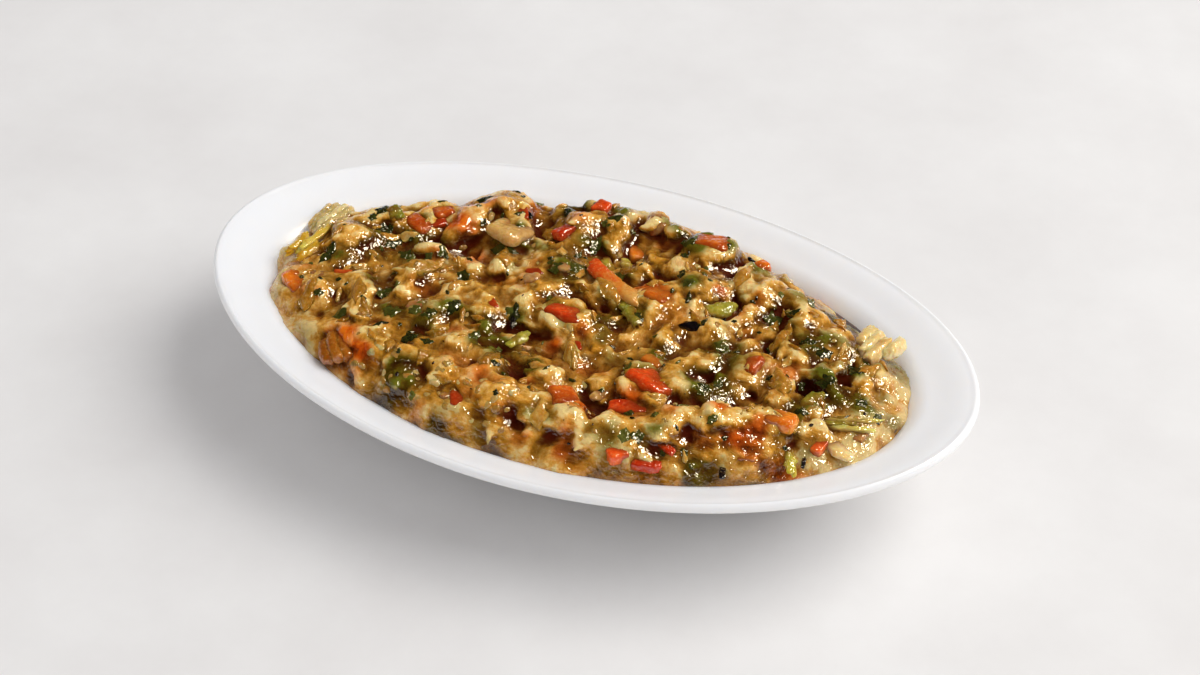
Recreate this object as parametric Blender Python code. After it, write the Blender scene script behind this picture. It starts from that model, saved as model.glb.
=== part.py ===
"""Baba ganoush in its oval dish, as one part. Metres, +Z up.

The dish is a glazed oval with raised ends, a broad sloping rim and a foot ring. Its length runs
along X and the middle of its foot stands on the origin. The mash is one solid, out to its uneven
top, and each large piece of vegetable sits in a pocket of its own in it.
"""

from math import cos, pi, radians, sin

import bmesh
import bpy
import numpy as np
from mathutils import Matrix, Vector

MM = 0.001

# Driving dimensions, in millimetres.
DISH_LENGTH = 210.0
DISH_WIDTH = 125.0
SIDE_HEIGHT = 33.0
END_RISE = 3.2  # how much higher the rim stands at its two ends
OUTLINE_POWER = 1.94  # 2 is an ellipse; a little less draws the ends out
LIP = 3.1  # thickness of the rounded lip
RIM_WIDTH_END = 16.0  # from the outer edge to the crease where the rim turns down
RIM_WIDTH_SIDE = 12.0
RIM_DROP = 4.3
WALL = 3.6
FLOOR_TOP = 5.0  # the inside floor over the table
FOOT_LENGTH = 126.0
FOOT_WIDTH = 54.0
FOOT_RING = 3.3  # width of the ring that stands on the table
FOOT_RECESS = 1.5
HULL_POWER = 1.25  # roundness of the wall: 1 is straight, 2 a quarter of an ellipse
GAP = 0.35  # between touching pieces

SEGMENTS = 64  # round every ring
HEAP_RINGS = 18  # from the middle of the mash to its edge
VALLEY = 31.0  # the mash's level between its lumps
EDGE_FALL = 6.0  # the width over which the mash comes down to the dish

HALF_LENGTH = DISH_LENGTH / 2
HALF_WIDTH = DISH_WIDTH / 2
CREASE_X = HALF_LENGTH - RIM_WIDTH_END
CREASE_Y = HALF_WIDTH - RIM_WIDTH_SIDE
CREASE_Z = SIDE_HEIGHT - RIM_DROP
FOOT_X = FOOT_LENGTH / 2
FOOT_Y = FOOT_WIDTH / 2

# The mash's lumps: middle x and y, half length, half width, turn in degrees and top.
LUMPS = (
    (-72, 8, 9, 7, 60, 38),
    (-73, 19, 7, 4, 0, 37),
    (-64, 18, 5, 4, 0, 36),
    (-73, -6, 5, 3, 10, 34),
    (-71, -16, 6, 4, 100, 34),
    (-59, -19, 12, 5, -70, 37),
    (-66, -27, 8, 4, -35, 32),
    (-53, -33, 7, 6, -50, 35),
    (-48, -25, 7, 5, -70, 36),
    (-48, -14, 6, 5, 0, 35),
    (-48, -1, 8, 6, 20, 37),
    (-50, 10, 8, 4, 20, 37),
    (-44, 19, 9, 5, 75, 39),
    (-38, 31, 8, 7, 100, 41),
    (-30, 30, 7, 4, -60, 38),
    (-27, 11, 7, 5, -20, 38),
    (-37, 6, 6, 4, 15, 36),
    (-38, -7, 7, 5, 80, 37),
    (-23, -11, 9, 7, -60, 38),
    (-33, -34, 7, 6, 0, 36),
    (-24, -35, 6, 5, -40, 37),
    (-15, -26, 6, 6, 0, 37),
    (-15, -17, 6, 5, 0, 37),
    (-5, -41, 7, 5, 0, 36),
    (4, -32, 9, 4, -5, 37),
    (9, -43, 10, 5, -5, 36),
    (1, -22, 6, 5, 0, 37),
    (3, -15, 9, 4, -55, 38),
    (-12, 3, 7, 6, 0, 37),
    (5, 6, 9, 4, -30, 39),
    (-3, 21, 8, 4, -45, 39),
    (16, 26, 11, 4, -55, 38),
    (28, 21, 7, 5, 20, 36),
    (35, 6, 6, 6, 0, 38),
    (23, -2, 6, 7, 0, 37),
    (14, -11, 7, 5, 10, 37),
    (-6, 37, 9, 7, 0, 40),
    (8, 37, 8, 6, 0, 40),
    (-19, 33, 6, 5, 0, 38),
    (32, 36, 5, 6, 0, 39),
    (41, 28, 8, 5, -30, 38),
    (53, 22, 10, 5, -20, 37),
    (67, 16, 7, 6, -30, 36),
    (56, 12, 9, 5, 60, 38),
    (66, 3, 8, 4, 0, 38),
    (78, 3, 5, 8, 0, 35),
    (55, -10, 10, 5, -50, 38),
    (40, -9, 7, 6, 0, 37),
    (65, -23, 11, 6, -55, 38),
    (46, -28, 10, 6, 5, 38),
    (29, -34, 7, 5, 0, 36),
    (45, -36, 9, 5, 15, 33),
)

# The large pieces: length, width, thickness, the middle's x, y and z, turn, tilt and bend, in
# millimetres and degrees, then the squareness of the outline and the colour.
RED = (0.62, 0.06, 0.02)
ORANGE = (0.72, 0.17, 0.03)
PALE = (0.62, 0.46, 0.25)
GREEN = (0.36, 0.38, 0.06)
YELLOW = (0.62, 0.42, 0.07)
TOMATO = (0.55, 0.2, 0.08)
DARK = (0.03, 0.02, 0.02)
PIECES = {
    "pepper_red_middle": (11, 8, 6, -3, -4, 36, -10, 20, 0, 4, RED),
    "pepper_red_right": (12, 9, 6, 27, -20, 36, -25, 20, 0, 4, RED),
    "pepper_red_front": (10, 6, 4, -16, -40, 34, -65, 10, 10, 3, RED),
    "pepper_orange_back": (10, 8, 6, 22, 36, 38, 5, 15, 0, 3, ORANGE),
    "pepper_orange_middle": (9, 8, 6, 16, 12, 36, -20, 10, 0, 2.5, ORANGE),
    "pepper_orange_left": (9, 6, 5, -77, -15, 32, -40, 5, 10, 2.5, ORANGE),
    "pepper_orange_side": (9, 7, 5, -57, 18, 34, -20, 10, 0, 2.5, ORANGE),
    "pepper_orange_far": (7, 6, 5, -53, 25, 34, 40, 10, 0, 3, ORANGE),
    "pepper_orange_right": (8, 6, 5, 48, -4, 36, 80, 20, 0, 2.5, ORANGE),
    "pepper_strip": (21, 4.5, 3.4, 3, 12, 38, -30, 0, 20, 3, ORANGE),
    "tomato_piece": (13, 10, 5, -53, -34, 34, -50, 15, 20, 2.4, TOMATO),
    "onion_slice": (15, 10, 4, -31, 22, 37, -15, 25, 25, 3, PALE),
    "onion_ribbed": (13, 8, 5, -78, 14, 35, 60, 15, 20, 3, PALE),
    "onion_wedge": (12, 7, 4, 74, 18, 35, 100, 20, 10, 2.2, PALE),
    "courgette_green": (11, 5, 3.5, 31, 14, 36, 25, 10, 10, 3, GREEN),
    "courgette_yellow": (14, 4.5, 3.5, -80, -1, 34, 85, 0, 15, 3, YELLOW),
    "pepper_green_strip": (15, 3.2, 3, 75, -12, 34, 20, 0, 15, 3, GREEN),
    "aubergine_skin": (12, 3.6, 3, 31, 6, 37.5, 50, 0, 70, 2.5, DARK),
}
SEAT = 2.0  # how far the mash under a piece reaches past it
PIECE_SIDES = 8
PIECE_STATIONS = (0.0, 0.55, 0.88, 1.0)  # from a piece's middle to its end


def material(name, colour, roughness):
    """A plain material with the part's own colour."""
    made = bpy.data.materials.new(name)
    made.use_nodes = True
    shader = made.node_tree.nodes["Principled BSDF"]
    shader.inputs["Base Color"].default_value = (*colour, 1.0)
    shader.inputs["Roughness"].default_value = roughness
    shader.inputs["Metallic"].default_value = 0.0
    return made


def smooth(low, high, value):
    """Rises from 0 at low to 1 at high, level at both ends."""
    share = np.clip((value - low) / (high - low), 0.0, 1.0)
    return share * share * (3.0 - 2.0 * share)


def ring(half_x, half_y, height):
    """One oval of the dish, in millimetres; the higher it is, the more its ends rise."""
    turn = 2 * pi * np.arange(SEGMENTS) / SEGMENTS
    along, across = np.cos(turn), np.sin(turn)
    x = half_x * np.sign(along) * np.abs(along) ** (2 / OUTLINE_POWER)
    y = half_y * np.sign(across) * np.abs(across) ** (2 / OUTLINE_POWER)
    rise = END_RISE * smooth(8.0, CREASE_Z, height) * (x / HALF_LENGTH) ** 2
    return np.column_stack([x, y, height + rise])


def hull_ovals(inset, low, high, angles):
    """Ovals up the rounded wall between low and high, inset from its outer face."""
    ovals = []
    for angle in angles:
        out = sin(radians(angle)) ** (2 / HULL_POWER)
        up = 1 - cos(radians(angle)) ** (2 / HULL_POWER)
        half_x = FOOT_X + (CREASE_X + WALL - FOOT_X) * out - inset
        half_y = FOOT_Y + (CREASE_Y + WALL - FOOT_Y) * out - inset
        ovals.append((half_x, half_y, low + (high - low) * up))
    return ovals


def dish_inside():
    """The inner profile's ovals from the floor to the crease: half x, half y and height."""
    wall = hull_ovals(WALL, FLOOR_TOP, CREASE_Z, (30, 42, 55, 68, 80, 90))
    floor = [
        (FOOT_X * 0.5, FOOT_Y * 0.45, FLOOR_TOP),
        (FOOT_X * 0.9, FOOT_Y * 0.8, FLOOR_TOP + 0.4),
    ]
    return floor + wall


def add_mesh(name, points, faces, colour, roughness):
    """Puts points in millimetres and their faces into one smooth-shaded object."""
    mesh = bpy.data.meshes.new(name)
    mesh.from_pydata((np.asarray(points) * MM).tolist(), [], faces)
    built = bmesh.new()
    built.from_mesh(mesh)
    bmesh.ops.recalc_face_normals(built, faces=built.faces)
    built.to_mesh(mesh)
    built.free()
    mesh.shade_smooth()
    mesh.set_sharp_from_angle(angle=radians(40))
    made = bpy.data.objects.new(name, mesh)
    made.data.materials.append(material(name, colour, roughness))
    bpy.context.scene.collection.objects.link(made)
    return made


def ring_faces(rings, sides):
    """Quads between following rings, with a fan on the first and last point of the list."""
    last = 1 + rings * sides
    faces = []
    for side in range(sides):
        after = (side + 1) % sides
        faces.append((0, 1 + side, 1 + after))
        for row in range(rings - 1):
            here = 1 + row * sides
            beyond = here + sides
            faces.append((here + side, beyond + side, beyond + after, here + after))
        end = last - sides
        faces.append((last, end + after, end + side))
    return faces


def make_dish():
    """Lofts the dish through ovals: inside, rim, rounded lip, underside, wall and foot ring."""
    ovals = list(dish_inside())
    for share in (0.16, 0.5, 0.84):
        x = CREASE_X + share * RIM_WIDTH_END
        y = CREASE_Y + share * RIM_WIDTH_SIDE
        ovals.append((x, y, CREASE_Z + RIM_DROP * share * 0.97))
    for angle in (72, 36, 0, -36, -72):
        out = LIP / 2 * (cos(radians(angle)) - 1)
        up = SIDE_HEIGHT - LIP / 2 + LIP / 2 * sin(radians(angle))
        ovals.append((HALF_LENGTH + out, HALF_WIDTH + out, up))
    under = SIDE_HEIGHT - LIP
    ovals.append((HALF_LENGTH - 5.0, HALF_WIDTH - 4.4, under - 1.0))
    ovals += hull_ovals(0.0, 1.0, CREASE_Z - 1.8, (90, 78, 64, 48, 30))
    ovals += [
        (FOOT_X, FOOT_Y, 1.0),
        (FOOT_X - 0.7, FOOT_Y - 0.7, 0.0),
        (FOOT_X - FOOT_RING, FOOT_Y - FOOT_RING, 0.0),
        (FOOT_X - FOOT_RING - 0.8, FOOT_Y - FOOT_RING - 0.8, FOOT_RECESS),
    ]
    points = [(0.0, 0.0, FLOOR_TOP)]
    for half_x, half_y, height in ovals:
        points.extend(ring(half_x, half_y, height))
    points.append((0.0, 0.0, FOOT_RECESS))
    add_mesh("dish", points, ring_faces(len(ovals), SEGMENTS), (0.86, 0.85, 0.83), 0.15)


def heap_domes():
    """The lumps, and a seat of mash under each large piece, which stands half out of it."""
    seats = []
    for length, width, _, x, y, z, turn, *_ in PIECES.values():
        seats.append((x, y, length / 2 + SEAT, width / 2 + SEAT, turn, z))
    return [*LUMPS, *seats]


def heap_height(x, y):
    """The mash's top before it comes down to the dish: a soft maximum of valley and domes."""
    sharpness = 1.4
    total = np.exp(sharpness * (VALLEY + 0.0 * x))
    for middle_x, middle_y, length, width, turn, top in heap_domes():
        c, s = cos(radians(turn)), sin(radians(turn))
        along = ((x - middle_x) * c + (y - middle_y) * s) / length
        across = ((y - middle_y) * c - (x - middle_x) * s) / width
        reach = along**2 + across**2
        dome = VALLEY + (top - VALLEY) * (1.3 * np.exp(-0.55 * reach**1.5) - 0.3)
        total = total + np.exp(sharpness * dome)
    return np.log(total) / sharpness


def heap_top(x, y, edge):
    """heap_height brought down over EDGE_FALL to the level edge where the mash meets the dish."""
    inside = (1.0 - np.hypot(x / CREASE_X, y / CREASE_Y)) * CREASE_Y
    return edge + (heap_height(x, y) - edge) * smooth(0.0, EDGE_FALL, inside)


def make_heap():
    """The mash: a lumpy top on rings that shrink to the middle, and a base that fits the dish."""
    middle = np.zeros(1)
    points = [(0.0, 0.0, heap_height(middle, middle)[0])]
    walls = dish_inside()[::-1]
    half_x, half_y, height = walls[0]
    outline = ring(half_x - 3 * GAP, half_y - 3 * GAP, height - GAP)
    for row in range(1, HEAP_RINGS + 1):
        share = (row / HEAP_RINGS) ** 0.9
        x, y = outline[:, 0] * share, outline[:, 1] * share
        points.extend(np.column_stack([x, y, heap_top(x, y, outline[:, 2])]))
    for half_x, half_y, height in walls[2:]:
        points.extend(ring(half_x - GAP, half_y - GAP, height + GAP))
    points.append((0.0, 0.0, FLOOR_TOP + GAP))
    faces = ring_faces(HEAP_RINGS + len(walls) - 2, SEGMENTS)
    return add_mesh("baba_ganoush", points, faces, (0.42, 0.24, 0.06), 0.25)


def make_piece(name, size, place, colour, extra=0.0):
    """A piece of vegetable: a rounded outline carried along an arc, grown by extra all round."""
    length, width, thick, square = size
    x, y, z, turn, tilt, bend = place
    half = length / 2 + extra
    stations = sorted({-s for s in PIECE_STATIONS} | set(PIECE_STATIONS))
    angle = 2 * pi * (np.arange(PIECE_SIDES) + 0.5) / PIECE_SIDES
    c, s = np.cos(angle), np.sin(angle)
    across = (width / 2 + extra) * np.sign(c) * np.abs(c) ** (2 / square)
    up = (thick / 2 + extra) * np.sign(s) * np.abs(s) ** (2 / square)
    points = []
    for station in stations:
        shrink = max(1.0 - abs(station) ** (1.6 * square), 0.0) ** (1 / square)
        sweep = radians(bend) * station
        run = half * (sin(sweep) / radians(bend) if bend else station)
        sag = half * ((cos(sweep) - 1) / radians(bend) if bend else 0.0)
        if shrink == 0.0:
            points.append((run, 0.0, sag))
            continue
        points.extend(np.column_stack([0.0 * c + run, across * shrink, up * shrink + sag]))
    made = add_mesh(name, points, ring_faces(len(stations) - 2, PIECE_SIDES), colour, 0.25)
    made.matrix_world = (
        Matrix.Translation(Vector((x, y, z)) * MM)
        @ Matrix.Rotation(radians(turn), 4, "Z")
        @ Matrix.Rotation(radians(-tilt), 4, "X")
    )
    return made


def set_in_heap(heap, name, row):
    """Makes a piece and cuts its pocket, GAP wider, out of the mash."""
    length, width, thick, x, y, z, turn, tilt, bend, square, colour = row
    size = (length, width, thick, square)
    place = (x, y, z, turn, tilt, bend)
    make_piece(name, size, place, colour)
    cutter = make_piece(name + "_pocket", size, place, colour, extra=GAP)
    cutter.hide_render = True
    cutter.display_type = "WIRE"
    cut = heap.modifiers.new(name + "_pocket", "BOOLEAN")
    cut.operation = "DIFFERENCE"
    cut.solver = "EXACT"
    cut.object = cutter


for old in list(bpy.data.objects):
    bpy.data.objects.remove(old)
make_dish()
mash = make_heap()
for piece_name, piece_row in PIECES.items():
    set_in_heap(mash, piece_name, piece_row)
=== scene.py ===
"""Looks of a helping of chunky baba ganoush in its white oval dish.

Lengths are in millimetres until put_mesh turns them into metres. The dish's length runs along X and
its foot stands at height 0.
"""

import bmesh
import bpy
import numpy as np
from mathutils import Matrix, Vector


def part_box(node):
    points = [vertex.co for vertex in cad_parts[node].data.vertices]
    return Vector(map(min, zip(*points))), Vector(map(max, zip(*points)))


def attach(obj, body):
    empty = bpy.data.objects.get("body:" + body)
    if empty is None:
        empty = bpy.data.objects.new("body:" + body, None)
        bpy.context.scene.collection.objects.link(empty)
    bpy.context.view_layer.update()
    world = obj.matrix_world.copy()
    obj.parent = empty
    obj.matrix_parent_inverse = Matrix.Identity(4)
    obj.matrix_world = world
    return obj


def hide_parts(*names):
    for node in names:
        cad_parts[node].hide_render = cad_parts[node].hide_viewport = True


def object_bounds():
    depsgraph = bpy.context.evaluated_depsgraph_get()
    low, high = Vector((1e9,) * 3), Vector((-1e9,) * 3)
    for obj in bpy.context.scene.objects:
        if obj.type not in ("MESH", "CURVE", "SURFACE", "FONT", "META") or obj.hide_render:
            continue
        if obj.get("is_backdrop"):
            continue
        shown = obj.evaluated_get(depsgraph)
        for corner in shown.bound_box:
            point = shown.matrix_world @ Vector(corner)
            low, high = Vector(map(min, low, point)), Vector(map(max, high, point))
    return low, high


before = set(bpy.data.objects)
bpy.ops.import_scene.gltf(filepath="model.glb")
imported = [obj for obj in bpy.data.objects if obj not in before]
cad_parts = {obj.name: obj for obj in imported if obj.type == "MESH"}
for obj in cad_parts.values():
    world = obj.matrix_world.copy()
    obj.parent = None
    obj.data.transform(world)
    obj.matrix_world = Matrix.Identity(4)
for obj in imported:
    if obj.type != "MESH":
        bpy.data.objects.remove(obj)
cad_box = [list(corner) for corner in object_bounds()]


# ---- The table, the light and the camera. A pale plastered table top under one large soft light
# from behind on the right, with a weak even light from all round.
def linear(code):
    """An sRGB hex colour as linear red, green, blue and 1: each channel is ((c + 0.055) / 1.055) ** 2.4."""
    parts = [int(code[i:i + 2], 16) / 255 for i in (0, 2, 4)]
    return (*[((c + 0.055) / 1.055) ** 2.4 if c > 0.04045 else c / 12.92 for c in parts], 1.0)


def node(material, kind, sockets=None, stops=None, **settings):
    """Adds a shader node of a kind: sockets by name or number, each a value or another node's output;
    stops fill a ramp."""
    made = material.node_tree.nodes.new("ShaderNode" + kind)
    for name, value in settings.items():
        setattr(made, name, value)
    for name, value in (sockets or {}).items():
        if isinstance(value, bpy.types.NodeSocket):
            material.node_tree.links.new(value, made.inputs[name])
        else:
            made.inputs[name].default_value = value
    if stops:
        ends = made.color_ramp.elements
        ends[0].position, ends[0].color = stops[0][0], linear(stops[0][1])
        ends[1].position, ends[1].color = stops[-1][0], linear(stops[-1][1])
        for place, code in stops[1:-1]:
            ends.new(place).color = linear(code)
    return made


def surface(name, **sockets):
    """A new material whose Principled shader has these sockets set, and that shader."""
    material = bpy.data.materials.new(name)
    material.use_nodes = True
    material.node_tree.nodes.clear()
    shader = node(material, "BsdfPrincipled")
    for socket, value in sockets.items():
        shader.inputs[socket.replace("_", " ")].default_value = value
    node(material, "OutputMaterial", {"Surface": shader.outputs[0]})
    return material, shader


def link(name, data):
    """A new object in the scene that holds a mesh, a lamp or a lens."""
    made = bpy.data.objects.new(name, data)
    bpy.context.scene.collection.objects.link(made)
    return made


def add_layer(mesh, name, values):
    """Values for each point of a mesh, single numbers or vectors."""
    kind, field = ("FLOAT", "value") if values.ndim == 1 else ("FLOAT_VECTOR", "vector")
    made = mesh.attributes.new(name, kind, "POINT")
    made.data.foreach_set(field, values.astype(np.float32).ravel())


def put_mesh(name, points, *face_arrays, **layers):
    """One smooth object from points in mm, arrays of faces with 3 or 4 corners, and values per point."""
    mesh = bpy.data.meshes.new(name)
    corners = np.concatenate([faces.ravel() for faces in face_arrays])
    sides = np.concatenate([np.full(len(faces), faces.shape[1]) for faces in face_arrays])
    mesh.vertices.add(len(points))
    mesh.vertices.foreach_set("co", (points * 0.001).astype(np.float32).ravel())
    mesh.loops.add(len(corners))
    mesh.loops.foreach_set("vertex_index", corners.astype(np.int32))
    mesh.polygons.add(len(sides))
    mesh.polygons.foreach_set("loop_start", (np.cumsum(sides) - sides).astype(np.int32))
    mesh.update(calc_edges=True)
    mesh.shade_smooth()
    for layer, values in layers.items():
        add_layer(mesh, layer, values)
    return link(name, mesh)


TABLE_HALF = 1500.0
table_corners = np.array([(-1, -1, 0), (1, -1, 0), (1, 1, 0), (-1, 1, 0)]) * TABLE_HALF
table = put_mesh("table_top", table_corners, np.array([[0, 1, 2, 3]]))

# Fine white plaster, trowelled: soft clouds about 7 cm wide and hardly any shine.
plaster, shader = surface("white_plaster_trowelled", Roughness=0.62)
place = node(plaster, "TexCoord")
clouds = node(plaster, "TexNoise",
              {"Vector": place.outputs["Object"], "Scale": 14.0, "Detail": 7.0, "Roughness": 0.62})
tone = node(plaster, "ValToRGB", {0: clouds.outputs[0]}, [(0.3, "dfdddc"), (0.7, "e9e8e7")])
plaster.node_tree.links.new(tone.outputs[0], shader.inputs["Base Color"])
table.data.materials.append(plaster)
table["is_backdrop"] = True

# The camera stands 40 degrees up, in front of the dish and a little to its right.
AIM = Vector((-1.4, 14.0, 15.8)) * 0.001
BACK = Vector((0.2993, -0.7018, 0.6464)).normalized()
CAMERA_AWAY, LAMP_AWAY = 0.6286, 2.6
lens = bpy.data.cameras.new("camera")
lens.lens, lens.sensor_width = 70.0, 36.0
camera = link("camera", lens)
camera.location = AIM + BACK * CAMERA_AWAY
camera.rotation_euler = (-BACK).to_track_quat("-Z", "Y").to_euler()
bpy.context.scene.camera = camera


def soft_light(name, toward, size, watts, code):
    """A square lamp of that size, in metres, that stands off along a direction and faces the dish."""
    lamp = bpy.data.lights.new(name, "AREA")
    lamp.shape, lamp.size, lamp.size_y, lamp.energy = "RECTANGLE", size, size, watts
    lamp.color = linear(code)[:3]
    placed = link(name, lamp)
    away = Vector(toward).normalized()
    placed.location = away * LAMP_AWAY
    placed.rotation_euler = away.to_track_quat("Z", "Y").to_euler()
    return placed


window = soft_light("window", (0.60, 0.26, 0.75), 2.2, 55.0, "fffefd")
window.visible_glossy = False
pane = soft_light("bright_pane", (0.56, 0.28, 0.77), 1.0, 100.0, "fff0d2")
pane.visible_diffuse = False
world = bpy.data.worlds.new("room")
world.use_nodes = True
room = world.node_tree.nodes["Background"].inputs
room["Color"].default_value, room["Strength"].default_value = linear("f6f5f6"), 0.62
world.cycles_visibility.glossy = False
bpy.context.scene.world = world
bpy.context.scene.view_settings.view_transform = "Standard"


# ---- The dish. White glazed porcelain, cast in one piece: an oval with raised ends, a broad rim
# that slopes down to a soft crease, a rounded wall and a foot ring ground flat.
def cad_corners(name):
    """The lowest and the highest corner of a CAD node's box, in mm."""
    return (np.array(corner) * 1000 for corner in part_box(name))


HALF_X, HALF_Y, END_HEIGHT = list(cad_corners("dish"))[1]
END_RISE = 3.2
SIDE_HEIGHT = END_HEIGHT - END_RISE
CREASE_X, CREASE_Y, CREASE_Z = HALF_X - 16.0, HALF_Y - 12.0, SIDE_HEIGHT - 4.3
FOOT_X, FOOT_Y = 63.0, 27.0
WALL, LIP, FLOOR_TOP = 3.6, 3.1, 5.0
OVAL = 1.94  # the power in the formula of the ovals, which is 2 in an ellipse
SIDES = 240


def smooth(low, high, value):
    """Rises from 0 at low to 1 at high, level at both ends: 3 s ** 2 - 2 s ** 3 of the share s."""
    share = np.clip((value - low) / (high - low), 0.0, 1.0)
    return share * share * (3.0 - 2.0 * share)


def ovals(half_x, half_y, height, turns):
    """Ovals one above another: |x / half_x| ** OVAL + |y / half_y| ** OVAL = 1, with the ends raised
    by the square of x, and the more the higher the oval stands."""
    half_x, half_y, height = (np.asarray(values, float)[:, None] for values in (half_x, half_y, height))
    along, across = np.cos(turns), np.sin(turns)
    x = half_x * np.sign(along) * np.abs(along) ** (2 / OVAL)
    y = half_y * np.sign(across) * np.abs(across) ** (2 / OVAL)
    rise = END_RISE * smooth(8.0, CREASE_Z, height) * (x / HALF_X) ** 2
    return np.stack([x, y, height + rise], axis=-1)


def wall_profile(inset, low, high, angles):
    """Half widths and heights up the rounded wall: out goes as sin ** 1.6 and up as 1 - cos ** 1.6."""
    out, up = np.sin(angles) ** 1.6, 1 - np.cos(angles) ** 1.6
    half_x = FOOT_X + (CREASE_X + WALL - FOOT_X) * out - inset
    half_y = FOOT_Y + (CREASE_Y + WALL - FOOT_Y) * out - inset
    return np.column_stack([half_x, half_y, low + (high - low) * up])


def inner_profile():
    """The dish's inside from its floor to the crease, as half widths and heights: the wall rounds over
    into the rim as (1 - s) ** 2 a + 2 s (1 - s) b + s ** 2 c between two places and the corner b."""
    share = np.array([0.3, 0.6, 0.8, 0.95])
    floor = np.column_stack([FOOT_X * share, FOOT_Y * share * 0.85, FLOOR_TOP + 0.5 * share**3])
    wall = wall_profile(WALL, FLOOR_TOP, CREASE_Z, np.radians(np.linspace(30, 72, 12)))
    s = np.linspace(0.12, 1, 8)[:, None]
    corner = (1 - s) ** 2 * wall[-1] + 2 * s * (1 - s) * np.array((CREASE_X, CREASE_Y, CREASE_Z + 0.1))
    corner = corner + s**2 * np.array((CREASE_X + 4.0, CREASE_Y + 3.0, CREASE_Z + 0.86))
    return np.concatenate([floor, wall, corner])


def dish_profile():
    """The whole profile: inside, a shallow S over the rim, a half round lip, underside, wall and foot."""
    share = np.linspace(0.33, 0.9, 9)
    rim_up = share - 0.05 * np.sin(2 * np.pi * share)
    rim = np.column_stack([CREASE_X + 16.0 * share, CREASE_Y + 12.0 * share, CREASE_Z + 4.3 * rim_up])
    angle = np.radians(np.linspace(78, -90, 15))
    out = LIP / 2 * (np.cos(angle) - 1)
    lip = np.column_stack([HALF_X + out, HALF_Y + out, SIDE_HEIGHT - LIP / 2 + LIP / 2 * np.sin(angle)])
    under_z = SIDE_HEIGHT - LIP
    under = [(HALF_X - 5.0, HALF_Y - 4.4, under_z - 0.9), (HALF_X - 9.0, HALF_Y - 7.4, under_z - 1.6)]
    outside = wall_profile(0.0, 1.0, CREASE_Z - 1.8, np.radians(np.linspace(88, 30, 15)))
    ring = [(0.0, 1.0), (-0.2, 0.3), (-0.7, 0.0), (-3.3, 0.0), (-3.8, 0.3), (-4.1, 1.5)]
    foot = [(FOOT_X + inset, FOOT_Y + inset, height) for inset, height in ring]
    return np.concatenate([inner_profile(), rim, lip, under, outside, foot])


def closed_faces(rows, sides):
    """Quads between following rings of points, and a fan of triangles on the first and the last point."""
    ring = np.arange(sides)
    after = (ring + 1) % sides
    start = 1 + np.arange(rows - 1)[:, None] * sides
    quads = np.stack([start + ring, start + sides + ring, start + sides + after, start + after], axis=-1)
    last = 1 + rows * sides
    first_fan = np.column_stack([0 * ring, 1 + ring, 1 + after])
    last_fan = np.column_stack([0 * ring + last, last - sides + after, last - sides + ring])
    return quads.reshape(-1, 4), np.concatenate([first_fan, last_fan])


def loft(profile, sides):
    """A closed body through ovals of the given half widths and heights, with its two middles."""
    turns = 2 * np.pi * np.arange(sides) / sides
    rings = ovals(*profile.T, turns).reshape(-1, 3)
    return np.concatenate([[(0, 0, profile[0, 2])], rings, [(0, 0, profile[-1, 2])]])


dish_rows = dish_profile()
dish = put_mesh("oval_dish", loft(dish_rows, SIDES), *closed_faces(len(dish_rows), SIDES))

# Glazed porcelain: bright white under a clear glaze with a faint ripple, 17 mm from wave to wave.
porcelain, shader = surface(
    "white_porcelain_glazed", Roughness=0.3, IOR=1.45, Coat_Weight=0.15, Coat_Roughness=0.15,
    Subsurface_Weight=0.5, Subsurface_Radius=(0.014, 0.012, 0.010), Subsurface_Scale=1.0)
place = node(porcelain, "TexCoord")
ripple = node(porcelain, "TexNoise",
              {"Vector": place.outputs["Object"], "Scale": 60.0, "Detail": 2.0})
tone = node(porcelain, "ValToRGB", {0: ripple.outputs[0]}, [(0.3, "f4f4f5"), (0.7, "f7f7f8")])
bump = node(porcelain, "Bump", {"Height": ripple.outputs[0], "Strength": 0.05, "Distance": 0.0006})
porcelain.node_tree.links.new(tone.outputs[0], shader.inputs["Base Color"])
porcelain.node_tree.links.new(bump.outputs[0], shader.inputs["Normal"])
dish.data.materials.append(porcelain)
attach(dish, "root")
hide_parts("dish")


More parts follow.
